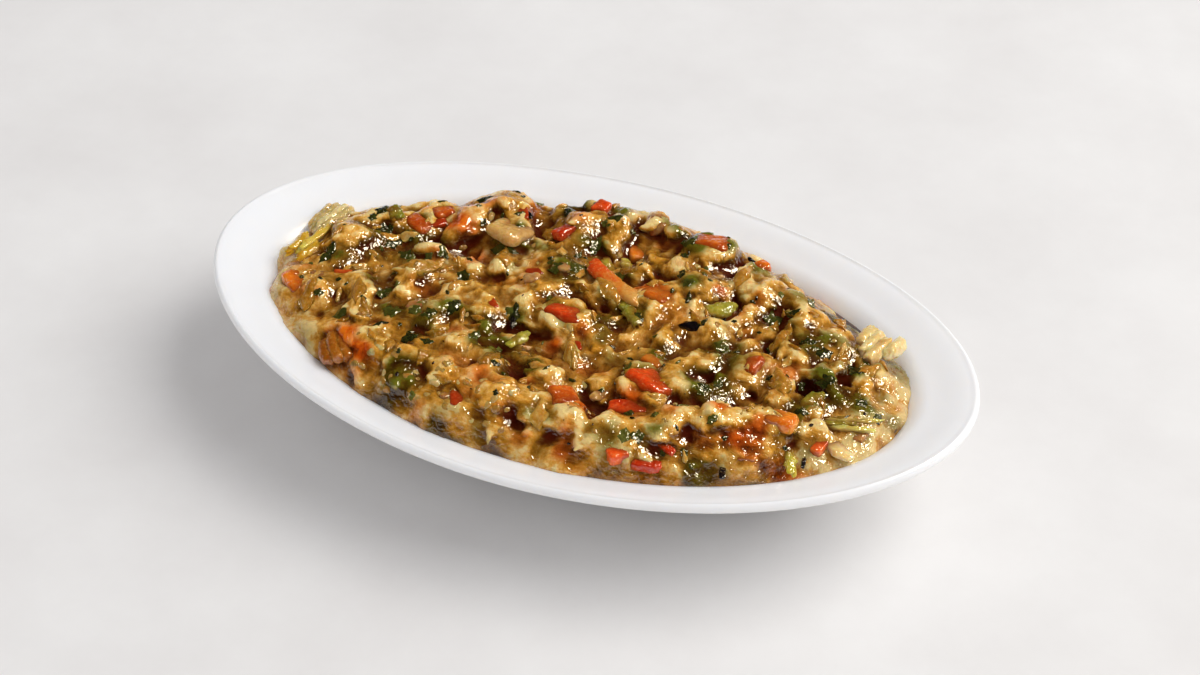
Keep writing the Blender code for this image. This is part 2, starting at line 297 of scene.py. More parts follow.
# ---- The mash. Roasted aubergine, skinned and torn into soft fibrous lumps that lie in their own
# juice. Each lump is a bent, knobbly roll; all of them melt into one skin over a low bed.
# Each row: middle x and y, top, length, width, turn and bend in degrees, and tone from dark to pale.
# The tones are partly the flesh's own colour and partly painted shade, darker on lumps that lie in shade, as
# along the front edge.
LUMPS = np.array([
    (-71, 6, 39.2, 17, 13, 95, 0, 0.6), (-68, -3, 35.5, 10, 9, 100, 0, 0.36),
    (-71, 16, 39.0, 13, 8, -10, 10, 0.72), (-64, 17, 38.8, 11, 8, -20, 0, 0.5),
    (-66, 9, 37.0, 9, 6, 80, 0, 0.55), (-60, 8, 34.5, 8, 7, 90, 0, 0.34), (-61, 14, 34.5, 6, 5, 0, 0, 0.5),
    (-46, 31, 37.6, 7, 6, 30, 0, 0.55), (-38, 35, 42.4, 16, 14, 90, 0, 0.6),
    (-31, 31, 38.0, 12, 5, -65, 0, 0.74), (-44, 22, 40.2, 17, 9, 70, 0, 0.66),
    (-50, 9, 37.0, 13, 6, 10, 15, 0.74), (-40, 8, 36.5, 10, 6, 15, 0, 0.64),
    (-35, 6, 36.5, 10, 6, 0, 0, 0.7), (-27, 10, 38.0, 11, 8, -60, 0, 0.8), (-24, 3, 35.5, 8, 7, 0, 0, 0.42),
    (-47, -2, 38.0, 14, 10, 30, 0, 0.74), (-45, -10, 36.5, 11, 6, -60, 0, 0.66),
    (-56, -18, 37.5, 24, 8, -68, 10, 0.7), (-61, -10, 35.5, 8, 5, -40, 0, 0.8),
    (-70, -18, 34.5, 11, 5.5, 100, 0, 0.62), (-66, -11, 34.0, 7, 5, 10, 0, 0.5),
    (-72, -8, 34.0, 8, 4, 10, 0, 0.72), (-72, -22, 32.5, 6, 5, 30, 0, 0.42),
    (-69, -27, 32.0, 7, 5, -30, 0, 0.5), (-64, -31, 33.0, 13, 6, -30, 0, 0.6),
    (-60, -29, 33.5, 9, 7, -50, 0, 0.42), (-55, -36, 32.0, 9, 6, -30, 0, 0.4),
    (-47, -27, 36.0, 11, 6, 80, 0, 0.76), (-41, -21, 35.5, 11, 9, 0, 0, 0.34),
    (-41, -15, 36.5, 6, 5, 0, 0, 0.66), (-34, -10, 38.5, 17, 8, -75, 0, 0.76),
    (-38, -4, 37.0, 8, 5, -80, 0, 0.7), (-33, -34, 37.4, 12, 10, 80, 0, 0.44),
    (-24, -34, 38.2, 10, 8, -50, 0, 0.72), (-28, -41, 35.2, 12, 8, 0, 0, 0.42),
    (-44, -38, 35.0, 11, 7, -20, 0, 0.34), (-38, -41, 35.2, 7, 6, 0, 0, 0.4),
    (-49, -19, 33.0, 8, 5, -60, 0, 0.3), (-19, 33, 37.5, 11, 6, 40, 0, 0.42),
    (-13, 33, 39.0, 16, 7, 35, -30, 0.5), (-5, 36, 41.0, 12, 7, -15, -30, 0.56),
    (-6, 43, 40.6, 9, 8, 90, 0, 0.82), (-14, 42, 39.4, 11, 8, 10, 0, 0.55),
    (11, 40, 40.5, 9, 7, 80, 0, 0.62), (5, 41, 40.0, 6, 5, 90, 0, 0.7), (-12, 27, 37.0, 12, 8, 80, 0, 0.4),
    (-16, 22, 36.0, 12, 6, 95, 0, 0.34), (-22, 20, 36.5, 8, 4.5, -70, 0, 0.72),
    (-3, 29, 37.5, 10, 6, -50, 0, 0.46), (-12, 13, 37.5, 6, 4, 10, 0, 0.76),
    (-12, 5, 38.0, 13, 9, 80, 0, 0.42), (-17, 5, 36.5, 5, 4, 0, 0, 0.78),
    (-24, -10, 38.5, 17, 9, -75, 0, 0.62), (-15, -4, 38.0, 12, 8, -60, 0, 0.78),
    (-15, -16, 37.5, 8, 7, 20, 0, 0.7), (-14, -31, 38.4, 13, 10, 80, 0, 0.52),
    (-9, -14, 34.0, 8, 5, -60, 0, 0.3), (-3, -11, 36.8, 9, 6, -10, 0, 0.8),
    (3, -15, 37.0, 13, 4.5, -68, -10, 0.8), (8, -23, 36.3, 7, 5, -60, 0, 0.74),
    (2, -24, 37.0, 9, 8.5, 0, 0, 0.62), (-4, -22, 35.8, 8, 6, 70, 0, 0.55),
    (7, -9, 36.0, 14, 8, -60, 0, 0.5), (15, -5, 36.3, 8, 6, 90, 0, 0.62), (15, -12, 36.8, 9, 6, 0, 0, 0.72),
    (15, -20, 37.0, 12, 8, 80, 0, 0.44), (24, -4, 38.3, 11, 8, 80, 0, 0.52),
    (24, -12, 37.0, 9, 6, -20, 0, 0.8), (20, -21, 36.0, 11, 6, -65, 0, 0.5),
    (8, -34, 38.6, 26, 7, 0, -150, 0.6), (-3, -35, 38.4, 16, 8, 5, 0, 0.62),
    (26, -36.5, 38.8, 17, 9, 30, 0, 0.6), (37, -31, 39.6, 18, 9, 28, 0, 0.66),
    (-7, -37, 38.2, 20, 12, 15, 0, 0.55), (11, -43, 35.6, 18, 5, -15, 60, 0.88),
    (5, -40, 36.6, 8, 5, -75, 0, 0.82), (-5, -45, 34.2, 16, 9, 0, 0, 0.54),
    (8, -46, 33.6, 22, 8, -5, 0, 0.5), (-8, -40, 36.5, 10, 7, 30, 0, 0.56),
    (20, -44, 34.4, 9, 6, 20, 0, 0.5), (-20, -45, 34.0, 9, 7, 0, 0, 0.38),
    (3, 9, 38.6, 16, 6.5, -38, 0, 0.82), (-5, 9, 37.5, 9, 6, -40, 0, 0.5),
    (7, 21, 35.5, 10, 7, -50, 0, 0.3), (18, 24, 38.5, 24, 6, -55, 25, 0.68),
    (20, 30, 37.0, 9, 8, 0, 0, 0.54), (26, 27, 37.0, 9, 7, 60, 0, 0.42), (10, 28, 35.5, 8, 6, -60, 0, 0.3),
    (13, 3, 36.5, 9, 6, -40, 0, 0.45), (20, 6, 36.0, 8, 5, 0, 0, 0.5), (26, 18, 37.0, 11, 8, 10, 0, 0.42),
    (30, 36, 39.5, 11, 6, 85, 0, 0.58), (35, 28, 38.5, 14, 6, 85, 0, 0.74),
    (36, 34, 38.0, 6, 5, 60, 0, 0.78), (42, 28, 38.0, 9, 7, -40, 0, 0.68),
    (41, 22, 37.5, 8, 6, 90, 0, 0.78), (49, 24, 38.0, 13, 8, -35, 20, 0.6),
    (56, 23, 36.5, 9, 6, -35, 0, 0.7), (62, 19, 36.0, 9, 6, -30, 0, 0.64),
    (66, 14, 36.0, 9, 6, 100, 0, 0.68), (54, 16, 38.0, 12, 7, -60, 0, 0.62),
    (51, 9, 37.5, 15, 6, 85, 15, 0.58), (45, 12, 36.0, 8, 6, 90, 0, 0.55), (43, 6, 36.5, 8, 6, 80, 0, 0.66),
    (34, 6, 39.0, 11, 9, 80, 0, 0.8), (40, 14, 36.5, 9, 6, -50, 0, 0.62), (60, 8, 36.5, 13, 7, -50, 0, 0.5),
    (57, 3, 36.0, 9, 6, -40, 0, 0.44), (67, 6, 37.5, 7, 6, 80, 0, 0.6), (74, 10, 35.0, 10, 8, 90, 0, 0.7),
    (78, 5, 34.0, 9, 7, -60, 0, 0.74), (81, -3, 34.5, 10, 6, -80, 0, 0.72),
    (75, -4, 36.0, 11, 8, -50, 0, 0.6), (66, -1, 38.0, 20, 5, -20, -150, 0.64),
    (66, -9, 35.8, 8, 5, 80, 0, 0.5), (57, -9, 38.5, 17, 9, -65, 0, 0.74),
    (36, -7, 38.3, 13, 12, -20, 0, 0.58), (33, -14, 37.0, 12, 6, -25, 0, 0.55),
    (37, -19, 37.5, 12, 7, 10, 0, 0.72), (55, -19, 36.0, 9, 6, 0, 0, 0.42),
    (49, -26, 39.8, 18, 9, 25, 0, 0.7), (34, -39, 35.0, 10, 6, 20, 0, 0.34),
    (46, -35, 35.2, 12, 6, 25, 0, 0.38), (58, -30, 35.0, 12, 6, 25, 0, 0.4),
    (71, -22, 39.2, 19, 10, -70, 0, 0.76), (73, -28, 35.5, 12, 6, -65, 0, 0.86),
    (60, -21, 39.6, 16, 9, 22, 0, 0.66), (12, -39, 37.4, 18, 7, -36, 0, 0.72),
    (47, -41, 33.4, 14, 6, 15, 0, 0.45), (58, -37, 33.0, 16, 6, 25, 0, 0.45),
    (34, -44.5, 33.6, 14, 6, 10, 0, 0.42), (28, -28, 36.6, 10, 8, 40, 0, 0.46),
    (42, -18, 36.4, 13, 9, 20, 0, 0.5), (46, -11, 36.2, 10, 8, -60, 0, 0.6),
    (63, -13, 37.0, 11, 8, 10, 0, 0.52), (31, -20, 36.6, 9, 7, 60, 0, 0.44),
    (54, -15, 36.2, 9, 7, -40, 0, 0.4),
])
BED = 33.0  # the mash's level between its lumps, near its edge
SKIN = 0.45  # the side of the squares that the melted skin is made of


def heading(turn):
    """The cosine and the sine of a turn in degrees."""
    return np.cos(np.radians(turn)), np.sin(np.radians(turn))


PRIMES = np.array([73856093, 19349663, 83492791])


def noise(points, size, seed):
    """Smooth values from -1 to 1: hashed numbers at the corners of cells of that size, blended inside
    each cell by 6 s ** 5 - 15 s ** 4 + 10 s ** 3."""
    cell = np.asarray(points) / size + seed * 17.31
    low = np.floor(cell).astype(np.int64)
    part = cell - low
    part = part**3 * (part * (part * 6 - 15) + 10)
    total = 0.0
    for corner in np.ndindex(2, 2, 2):
        key = (low + corner) * PRIMES
        mixed = (key[..., 0] ^ key[..., 1] ^ key[..., 2]) & 0xFFFFFFFF
        mixed = ((mixed ^ (mixed >> 13)) * 1274126177) & 0xFFFFFFFF
        value = ((mixed ^ (mixed >> 16)) & 0xFFFF) / 32767.5 - 1
        total = total + np.prod(np.where(corner, part, 1 - part), axis=-1) * value
    return total


def rolls(rows, depth, rough, along, around, seed, blunt=2.6, square=2.0, tilt=0.0):
    """Knobbly rolls: for v from end to end and u round the roll, the section narrows as
    (1 - |v| ** blunt) ** (1 / blunt), its outline is |cos u| and |sin u| to the power 2 / square, the
    surface swells by noise, the length bends round an arc, and the whole tilts and turns to its place.
    Gives the points of all rolls, one roll after another, and their faces."""
    x, y, top, length, width, turn, bend = (rows[:, i, None, None] for i in range(7))
    v = -np.cos(np.pi * np.arange(along + 2) / (along + 1))[None, :, None]
    u = (2 * np.pi * np.arange(around) / around)[None, None, :]
    narrow = np.clip(1 - np.abs(v) ** blunt, 0, 1) ** (1 / blunt)
    half_deep = (depth + 0 * rows[:, 0])[:, None, None] / 2
    wide = np.sign(np.cos(u)) * np.abs(np.cos(u)) ** (2 / square)
    high = -np.sign(np.sin(u)) * np.abs(np.sin(u)) ** (2 / square)
    spans = (length / 2 * v, width / 2 * narrow * wide, half_deep * narrow * high)
    local = np.stack(np.broadcast_arrays(*spans), -1)
    own = np.arange(len(rows))[:, None, None, None] * 5.77
    shape = local / width[..., None]
    swell = 1 + rough * noise(shape + own, 0.42, seed) + 0.5 * rough * noise(shape + own, 0.19, seed + 1)
    local = local * swell[..., None]
    arc = np.radians(np.where(np.abs(bend) < 0.1, 0.1, bend))
    radius = length / arc
    reach = radius - local[..., 1]
    bent_x = reach * np.sin(arc * local[..., 0] / length)
    bent_y = radius - reach * np.cos(arc * local[..., 0] / length)
    lean = np.radians(tilt + 0 * rows[:, 0])[:, None, None]
    lean_c, lean_s = np.cos(lean), np.sin(lean)
    bent_y, up = bent_y * lean_c + local[..., 2] * lean_s, local[..., 2] * lean_c - bent_y * lean_s
    c, s = heading(turn)
    points = np.stack([x + bent_x * c - bent_y * s, y + bent_x * s + bent_y * c, top - half_deep + up], -1)
    sides = points[:, 1:-1].reshape(len(rows), -1, 3)
    points = np.concatenate([points[:, 0, :1], sides, points[:, -1, :1]], axis=1)
    quads, fans = closed_faces(along, around)
    first = (np.arange(len(rows)) * points.shape[1])[:, None, None]
    return points.reshape(-1, 3), (quads + first).reshape(-1, 4), (fans + first).reshape(-1, 3)


CELL = 0.5  # the side of a cell of the grids of heights
GRID_X, GRID_Y = int(2 * HALF_X / CELL), int(2 * HALF_Y / CELL)


def spread(grid, reach):
    """A grid blurred along both of its axes with a bell curve of that reach, in mm."""
    steps = np.arange(-int(3 * reach / CELL), int(3 * reach / CELL) + 1)
    weight = np.exp(-0.5 * (steps * CELL / reach) ** 2)
    weight /= weight.sum()
    for axis in (0, 1):
        grid = sum(w * np.roll(grid, step, axis) for w, step in zip(weight, steps))
    return grid


def height_grid(points, floor):
    """The highest point in each cell of a square grid, with small gaps closed from their neighbours."""
    grid = np.full((GRID_X, GRID_Y), floor, float)
    column = np.clip(((points[:, 0] + HALF_X) / CELL).astype(int), 0, GRID_X - 1)
    row = np.clip(((points[:, 1] + HALF_Y) / CELL).astype(int), 0, GRID_Y - 1)
    np.maximum.at(grid, (column, row), points[:, 2])
    for _ in range(2):
        near = np.max([np.roll(grid, step, axis) for axis in (0, 1) for step in (1, -1)], axis=0)
        grid = np.where(grid <= floor, near, grid)
    return grid


def sample(grid, x, y):
    """A grid's value at points in mm, blended between its four nearest cells."""
    at_x = np.clip((x + HALF_X) / CELL - 0.5, 0, GRID_X - 1.001)
    at_y = np.clip((y + HALF_Y) / CELL - 0.5, 0, GRID_Y - 1.001)
    i, j = at_x.astype(int), at_y.astype(int)
    s, t = at_x - i, at_y - j
    low = grid[i, j] * (1 - t) + grid[i, j + 1] * t
    return low * (1 - s) + (grid[i + 1, j] * (1 - t) + grid[i + 1, j + 1] * t) * s


def oval_share(x, y, half_x, half_y):
    """How far out a point lies in an oval, 0 in its middle and 1 on it, by the formula of the ovals."""
    return (np.abs(x / half_x) ** OVAL + np.abs(y / half_y) ** OVAL) ** (1 / OVAL)


def inside(x, y):
    """Distance in from the crease, in mm and roughly, more than 0 over the food."""
    return (1 - oval_share(x, y, CREASE_X, CREASE_Y)) * CREASE_Y


# The mash is a field of signed distances on a grid: below 0 inside the flesh, above 0 in the air.
BASE, CEILING = 26.5, 43.0
axes = [np.arange(-HALF_X + 14, HALF_X - 14, SKIN), np.arange(-HALF_Y + 10, HALF_Y - 10, SKIN),
        np.arange(BASE - 1.5, CEILING, SKIN)]


def cloud(size, seed):
    """Smooth values on the whole grid, about 1 in size: random numbers that far apart, spread along
    each axis by the cubic spline (2 - d) ** 3 / 6 - (1 - d) ** 3 * 2 / 3, d in numbers from each."""
    spans = []
    for axis in axes:
        knots = np.arange(int((axis[-1] - axis[0]) / size) + 5)
        away = np.abs((axis[:, None] - axis[0]) / size + 1.5 - knots)
        spans.append((np.clip(2 - away, 0, None) ** 3 - 4 * np.clip(1 - away, 0, None) ** 3) / 6)
    values = np.random.default_rng(seed).uniform(-1, 1, [span.shape[1] for span in spans])
    return (np.einsum("ai,bj,ck,ijk->abc", *spans, values, optimize=True) * 4.0).astype(np.float32)


MARGIN = 4.0  # how far from a lump's own size the field is still worked out


def melt_in(field, place, row, deep, blend):
    """Melts a bent oval lump into the field: with q the place over the half sizes r, its distance is
    |q| (|q| - 1) / |q / r|, and where the two surfaces are nearer than blend they flow together."""
    x, y, top, length, width, turn, bend = row[:7]
    middle = (x, y, top - deep / 2)
    margin = (length + width) / 2 + MARGIN
    box = tuple(slice(*np.searchsorted(axis, (at - span, at + span)))
                for axis, at, span in zip(axes, middle, (margin, margin, deep / 2 + MARGIN)))
    dx, dy, dz = (place[i][box] - at for i, at in enumerate(middle))
    c, s = heading(turn)
    along, across = dx * c + dy * s, dy * c - dx * s
    if bend:
        radius, side = length / np.radians(bend), np.sign(bend)
        along, across = (np.arctan2(along * side, (radius - across) * side) * radius,
                         radius - side * np.hypot(along, radius - across))
    half = (length / 2, width / 2, deep / 2)
    scaled = [part / size for part, size in zip((along, across, dz), half)]
    far = np.sqrt(sum(part**2 for part in scaled)) + 1e-4
    steep = np.sqrt(sum((part / size) ** 2 for part, size in zip(scaled, half))) + 1e-4
    own = far * (far - 1) / steep
    near = np.clip(blend - np.abs(own - field[box]), 0, None) / blend
    field[box] = np.minimum(own, field[box]) - near**2 * blend / 4


grid_x, grid_y, grid_z = (axis.astype(np.float32) for axis in np.meshgrid(*axes, indexing="ij"))
place = [grid + 0.9 * cloud(8.0, seed) + 0.45 * cloud(3.0, seed + 3)
         for seed, grid in ((11, grid_x), (12, grid_y), (13, grid_z))]

# The bed under the lumps dips where juice gathers: middle x and y, reach and depth.
DIPS = [
    (76, -25, 9, 2.6), (48, -19, 5, 2.0), (-53, -13, 5, 2.5), (-7, -27, 7, 2.5), (14, -41, 5, 2.5),
    (-18, -22, 6, 1.5), (20, -29, 5, 2.0), (64, -9, 6, 2.5), (-39, 13, 5, 2.5), (9, 1, 5, 2.0),
    (-31, -23, 6, 2.0), (-84, 2, 6, 2.0),
]
within = oval_share(grid_x, grid_y, CREASE_X, CREASE_Y)
bed = BED + 1.8 * (1 - within**2) + 1.3 * cloud(9.0, 20) + 0.9 * cloud(4.5, 26)
for x, y, reach, deep in DIPS:
    bed -= deep * np.exp(-((place[0] - x) ** 2 + (place[1] - y) ** 2) / reach**2)
field = place[2] - bed
LUMP_BLEND, SCRAP_BLEND, LAP_BLEND, EDGE_BLEND = 2.8, 1.6, 2.4, 1.6
big_depth = np.maximum(LUMPS[:, 4] * 1.05, (LUMPS[:, 2] - 30) * 1.6)
for row, deep in zip(LUMPS, big_depth):
    melt_in(field, place, row, deep, LUMP_BLEND)

# The vegetable pieces sit in flesh that laps a little way up round each of them, least round the
# flat slice of onion.
RED_NODES = [f"pepper_red_{place}" for place in ("middle", "right", "front")]
ORANGE_NODES = [f"pepper_orange_{place}" for place in ("back", "middle", "left", "side", "far", "right")]
SET_IN = RED_NODES + ORANGE_NODES + ["tomato_piece", "onion_slice", "onion_ribbed", "onion_wedge"]
LAP = 2.5
for name in SET_IN:
    low, high = cad_corners(name)
    middle, size = (low + high) / 2, high - low
    lap_top = high[2] - (2.8 if name == "onion_slice" else 1.6)
    lap = (*middle[:2], lap_top, size[0] + LAP, size[1] + LAP, 0, 0)
    melt_in(field, place, lap, size[2] + 2, LAP)
field -= 0.75 * np.abs(cloud(5.5, 23)) + 0.5 * np.abs(cloud(2.9, 21)) + 0.22 * np.abs(cloud(1.7, 22)) - 0.6

# The food stops at the dish's wall, where its edge rounds down, lower on the far side than elsewhere.
wall = inner_profile()
lift = grid_z - END_RISE * smooth(8.0, CREASE_Z, grid_z) * (grid_x / HALF_X) ** 2
on_rim = 1.6 * np.clip(lift - CREASE_Z, 0, 3)
room_x, room_y = (np.interp(lift, wall[:, 2], wall[:, i]) + on_rim for i in (0, 1))
reach = oval_share(grid_x, grid_y, room_x, room_y)
far_side = smooth(-0.1, 0.6, grid_y / CREASE_Y + 0.25 * grid_x / CREASE_X)


def hump(x, y, wide, deep):
    """A smooth hump round a place: exp(-(dx / wide) ** 2 - (dy / deep) ** 2)."""
    return np.exp(-((grid_x - x) / wide) ** 2 - ((grid_y - y) / deep) ** 2)


# The brim is the food's height at the crease. It is heaped at four places along the back, and sinks
# a little at two others.
heaped = sum(hump(x, y, 9, 6) for x, y in ((-42, 42), (-13, 45), (2, 47), (26, 42)))
brim = 28.4 - 2.4 * far_side + 5.5 * heaped - 0.8 * hump(-52, -37, 20, 9)
brim -= 1.7 * hump(62, 32, 24, 10)
brim += 1.3 * cloud(6.0, 24) + 0.7 * cloud(2.5, 25)
brim = (grid_z - brim - (1.2 - 0.1 * far_side) * (1 - within) * CREASE_Y) * 0.6
edge = np.clip(EDGE_BLEND - np.abs(brim - field), 0, None) / EDGE_BLEND
field = np.maximum(field, brim) + edge**2 * EDGE_BLEND / 4

# Small scraps of flesh lie all over the big lumps and between them.
SCRAPS = 1100
rng = np.random.default_rng(7)
from_above = field[:, :, ::-1] < 0
top_now = np.where(from_above.any(axis=2), axes[2][-1] - np.argmax(from_above, axis=2) * SKIN, BED)
spot = rng.uniform(-1, 1, (4 * SCRAPS, 2)) * (CREASE_X - 2, CREASE_Y - 2)
spot = spot[inside(*spot.T) > 2.2][:SCRAPS]
spot_top = top_now[np.searchsorted(axes[0], spot[:, 0]), np.searchsorted(axes[1], spot[:, 1])]
scrap_length = 2.6 + 6.5 * rng.uniform(0, 1, len(spot)) ** 2
scrap_width = np.minimum(scrap_length * 0.55, rng.uniform(1.3, 2.8, len(spot)))
flow = 130 * noise(np.column_stack([spot, 0 * spot_top]), 16.0, 19) + rng.normal(0, 22, len(spot))
# Over the edge of each cut piece of pepper lap a few scraps.
lap_rows = []
for number, name in enumerate(RED_NODES + ORANGE_NODES):
    low, high = cad_corners(name)
    for angle in np.radians(number * 50 + np.array([0, 95, 170, 240])):
        out = (high - low)[:2] * 0.5 * (np.cos(angle), np.sin(angle))
        lap_rows.append((*((low + high)[:2] / 2 + out), high[2] - 1.3, 7.0, 4.0, np.degrees(angle) + 90, 20))
scrap_top = spot_top + rng.uniform(-0.8, 0.6, len(spot)) - 0.8 * smooth(12.0, 3.0, inside(*spot.T))
scrap_bend = rng.uniform(-70, 70, len(spot))
scraps = np.column_stack([spot, scrap_top, scrap_length, scrap_width, flow, scrap_bend])
place = [grid + 0.35 * cloud(2.0, seed) for seed, grid in ((14, grid_x), (15, grid_y), (16, grid_z))]
for rows, blend in ((scraps, SCRAP_BLEND), (lap_rows, LAP_BLEND)):
    for row in rows:
        melt_in(field, place, row, row[4] * 0.9, blend)

# Nothing reaches more than 0.3 mm into the dish's wall, or below the base.
field = np.maximum(field, (reach - 1) * room_y - 0.3)
field = np.maximum(field, BASE - 0.5 - grid_z)


def slab(axis, part):
    """An index that takes that part of one axis of the grid and all of the other two."""
    return tuple(part if i == axis else slice(None) for i in range(3))


for axis in range(3):
    for end in (0, -1):
        field[slab(axis, end)] = 1.0


def cells_beside(edge, axis, back):
    """The cells beside crossed edges along an axis, one step back or none along the two other axes."""
    cell = edge.copy()
    cell[:, (axis + 1) % 3] -= back[0]
    cell[:, (axis + 2) % 3] -= back[1]
    return tuple(cell.T)


def net(field):
    """The surface where the field is 0: one point in each cell of the grid that the surface passes,
    in the middle of its crossings with the cell's edges, and one quad round each crossed edge."""
    total = np.zeros((*(size - 1 for size in field.shape), 4), np.float32)
    crossed = []
    for axis in range(3):
        low, high = field[slab(axis, slice(0, -1))], field[slab(axis, slice(1, None))]
        edge = np.argwhere((low < 0) != (high < 0))
        below, above = low[tuple(edge.T)], high[tuple(edge.T)]
        crossing = edge.astype(np.float32)
        crossing[:, axis] += below / (below - above)
        crossed.append((axis, edge, below < 0))
        for back in np.ndindex(2, 2):
            np.add.at(total, cells_beside(edge, axis, back), np.column_stack([crossing, np.ones(len(edge))]))
    used = total[..., 3] > 0
    number = np.cumsum(used.ravel()).reshape(used.shape) - 1
    points = total[used][:, :3] / total[used][:, 3:]
    quads = []
    for axis, edge, inward in crossed:
        ring = [number[cells_beside(edge, axis, back)] for back in ((1, 1), (0, 1), (0, 0), (1, 0))]
        ring = np.column_stack(ring)
        quads.append(np.where(inward[:, None], ring, ring[:, ::-1]))
    return points * SKIN + [axis[0] for axis in axes], np.concatenate(quads)


# The oil on top is smoother than the flesh: its surface is the same field, blurred over a millimetre.
oil = np.clip(field, -2.5, 2.5)
oil_steps = np.arange(-5, 6)
bell = np.exp(-0.5 * (oil_steps * SKIN / 0.85) ** 2)
for axis in range(3):
    oil = sum(w * np.roll(oil, step, axis) for w, step in zip(bell / bell.sum(), oil_steps))
oil_slopes = np.stack(np.gradient(oil), axis=-1)


def at_points(grid, points):
    """A grid of vectors at points in mm, blended between the eight nearest cells of each."""
    cell = (points - [axis[0] for axis in axes]) / SKIN
    low = np.clip(np.floor(cell).astype(int), 0, np.array(grid.shape[:3]) - 2)
    part = cell - low
    total = 0.0
    for corner in np.ndindex(2, 2, 2):
        weight = np.prod(np.where(corner, part, 1 - part), axis=-1)
        total = total + weight[:, None] * grid[tuple((low + corner).T)]
    return total


raw = put_mesh("raw_mash", *net(field))
melted = raw.data
bpy.data.objects.remove(raw)

# The underside is cut off level inside the dish and closed with one face.
skin = bmesh.new()
skin.from_mesh(melted)
cut = bmesh.ops.bisect_plane(skin, geom=skin.verts[:] + skin.edges[:] + skin.faces[:],
                             plane_co=(0, 0, BASE * 0.001), plane_no=(0, 0, 1), clear_inner=True)
bmesh.ops.edgeloop_fill(skin, edges=[e for e in cut["geom_cut"] if isinstance(e, bmesh.types.BMEdge)])
bmesh.ops.recalc_face_normals(skin, faces=skin.faces)
skin.to_mesh(melted)
skin.free()


def vectors(mesh_values, field, width=3):
    """One field of a mesh's points as an array."""
    values = np.zeros(len(mesh_values) * width, np.float32)
    mesh_values.foreach_get(field, values)
    return values.reshape(-1, width).astype(float)


points = vectors(melted.vertices, "co") * 1000
normals = vectors(melted.vertex_normals, "vector")
oiled = at_points(oil_slopes, points)
oiled /= np.linalg.norm(oiled, axis=1)[:, None] + 1e-6

# Every point belongs to the lump whose rounded shape it lies nearest to.
warped = points + 0.9 * np.stack([noise(points, 2.6, seed) for seed in (21, 22, 23)], axis=-1)
nearest = np.full(len(points), np.inf)
owner = np.zeros(len(points), int)
for number, (x, y, top, length, width, turn) in enumerate(LUMPS[:, :6]):
    c, s = heading(turn)
    dx, dy = warped[:, 0] - x, warped[:, 1] - y
    deep = big_depth[number] / 2
    far = ((dx * c + dy * s) * 2 / length) ** 2 + ((dy * c - dx * s) * 2 / width) ** 2
    far += ((warped[:, 2] - top + deep) / deep) ** 2
    closer = far < nearest
    nearest[closer], owner[closer] = far[closer], number

# Fibres run along each lump, as ridges about a millimetre apart that a fork has frayed.
c, s = heading(LUMPS[owner, 5] + 25 * noise(points, 9.0, 31))
grain = (points[:, 0] * c + points[:, 1] * s) / 5.0, points[:, 1] * c - points[:, 0] * s, points[:, 2]
grain = np.column_stack(grain) + owner[:, None] * 3.3  # no two lumps share their fibres
fibre = 1 - 2 * np.abs(noise(grain, 1.25, 32))
billow = 1 - 2 * np.abs(noise(points, 2.0, 33))
fine = noise(points, 1.1, 34)
loose = smooth(BASE, BASE + 1.5, points[:, 2])
ridges = (0.12 * fibre - 0.10 * billow + 0.09 * fine) * loose
points += normals * ridges[:, None]

# Where the most herbs lie the flesh round them has gone green.
LEAFY = [
    (-62, 12), (-55, 9), (-50, 12), (-30, 17), (-52, -12), (-58, -22), (-46, -18), (-36, -22), (-31, -14),
    (-72, -5), (-8, 27), (-9, 14), (-15, -8), (12, 4), (17, 33), (46, 17), (38, 1), (61, 8), (72, 6),
    (79, -5), (34, -37), (47, -40), (-34, -40), (-28, 22), (4, 15), (67, -5), (40, -17), (-21, -20),
    (22, 18), (-5, -26), (60, -38),
]
ground = height_grid(points, BASE)
x, y, z = points.T
# Deep is how far a point lies below the mash round it, away from the wall. The flesh shader turns such places
# darker and redder: partly the juice that stands there, partly painted shade in the hollows.
deep = 0.4 * sample(spread(ground, 4.0), x, y) + 1.3 * sample(spread(ground, 1.6), x, y)
deep = (deep - 1.7 * z) * smooth(0.5, 8.0, inside(x, y))
crest = z - sample(spread(ground, 1.4), x, y)
# The tone is the flesh's own paleness, from its lump and from clouds, with painted light and shade added:
# paler on crests and heaps and darker in hollows, darker on steep sides than on level tops, and paler within
# about 9 mm of the dish's wall to lift the shade on the faces there.
tone = 0.15 + 0.70 * LUMPS[owner, 7] + 0.17 * noise(points, 4.0, 35) + 0.12 * noise(points, 1.8, 38)
heap = z - sample(spread(ground, 4.0), x, y)
edging = smooth(0.5, 9.0, inside(x, y))
tone += 0.05 * np.clip(heap, -3.0, 3.0) + 0.62 * edging * (np.clip(normals[:, 2], 0, 1) - 0.74)
tone += 0.32 * (1 - edging) + 0.04 * fibre + 0.28 * np.clip(crest, -1.4, 0.8)
stain = 0.49 + 0.3 * noise(points, 14.0, 36) + 0.5 * noise(points, 5.5, 37)
for leaf_x, leaf_y in LEAFY:
    stain -= 0.7 * np.exp(-((x - leaf_x) ** 2 + (y - leaf_y) ** 2) / 20.0)
stain += 0.6 * np.exp(-((x + 53) ** 2 + (y + 34) ** 2) / 60.0)
melted.vertices.foreach_set("co", (points * 0.001).astype(np.float32).ravel())
mash_layers = {"tone": tone, "deep": deep, "stain": stain, "grain": grain, "oiled": oiled}
for layer, values in mash_layers.items():
    add_layer(melted, layer, values)
melted.shade_smooth()

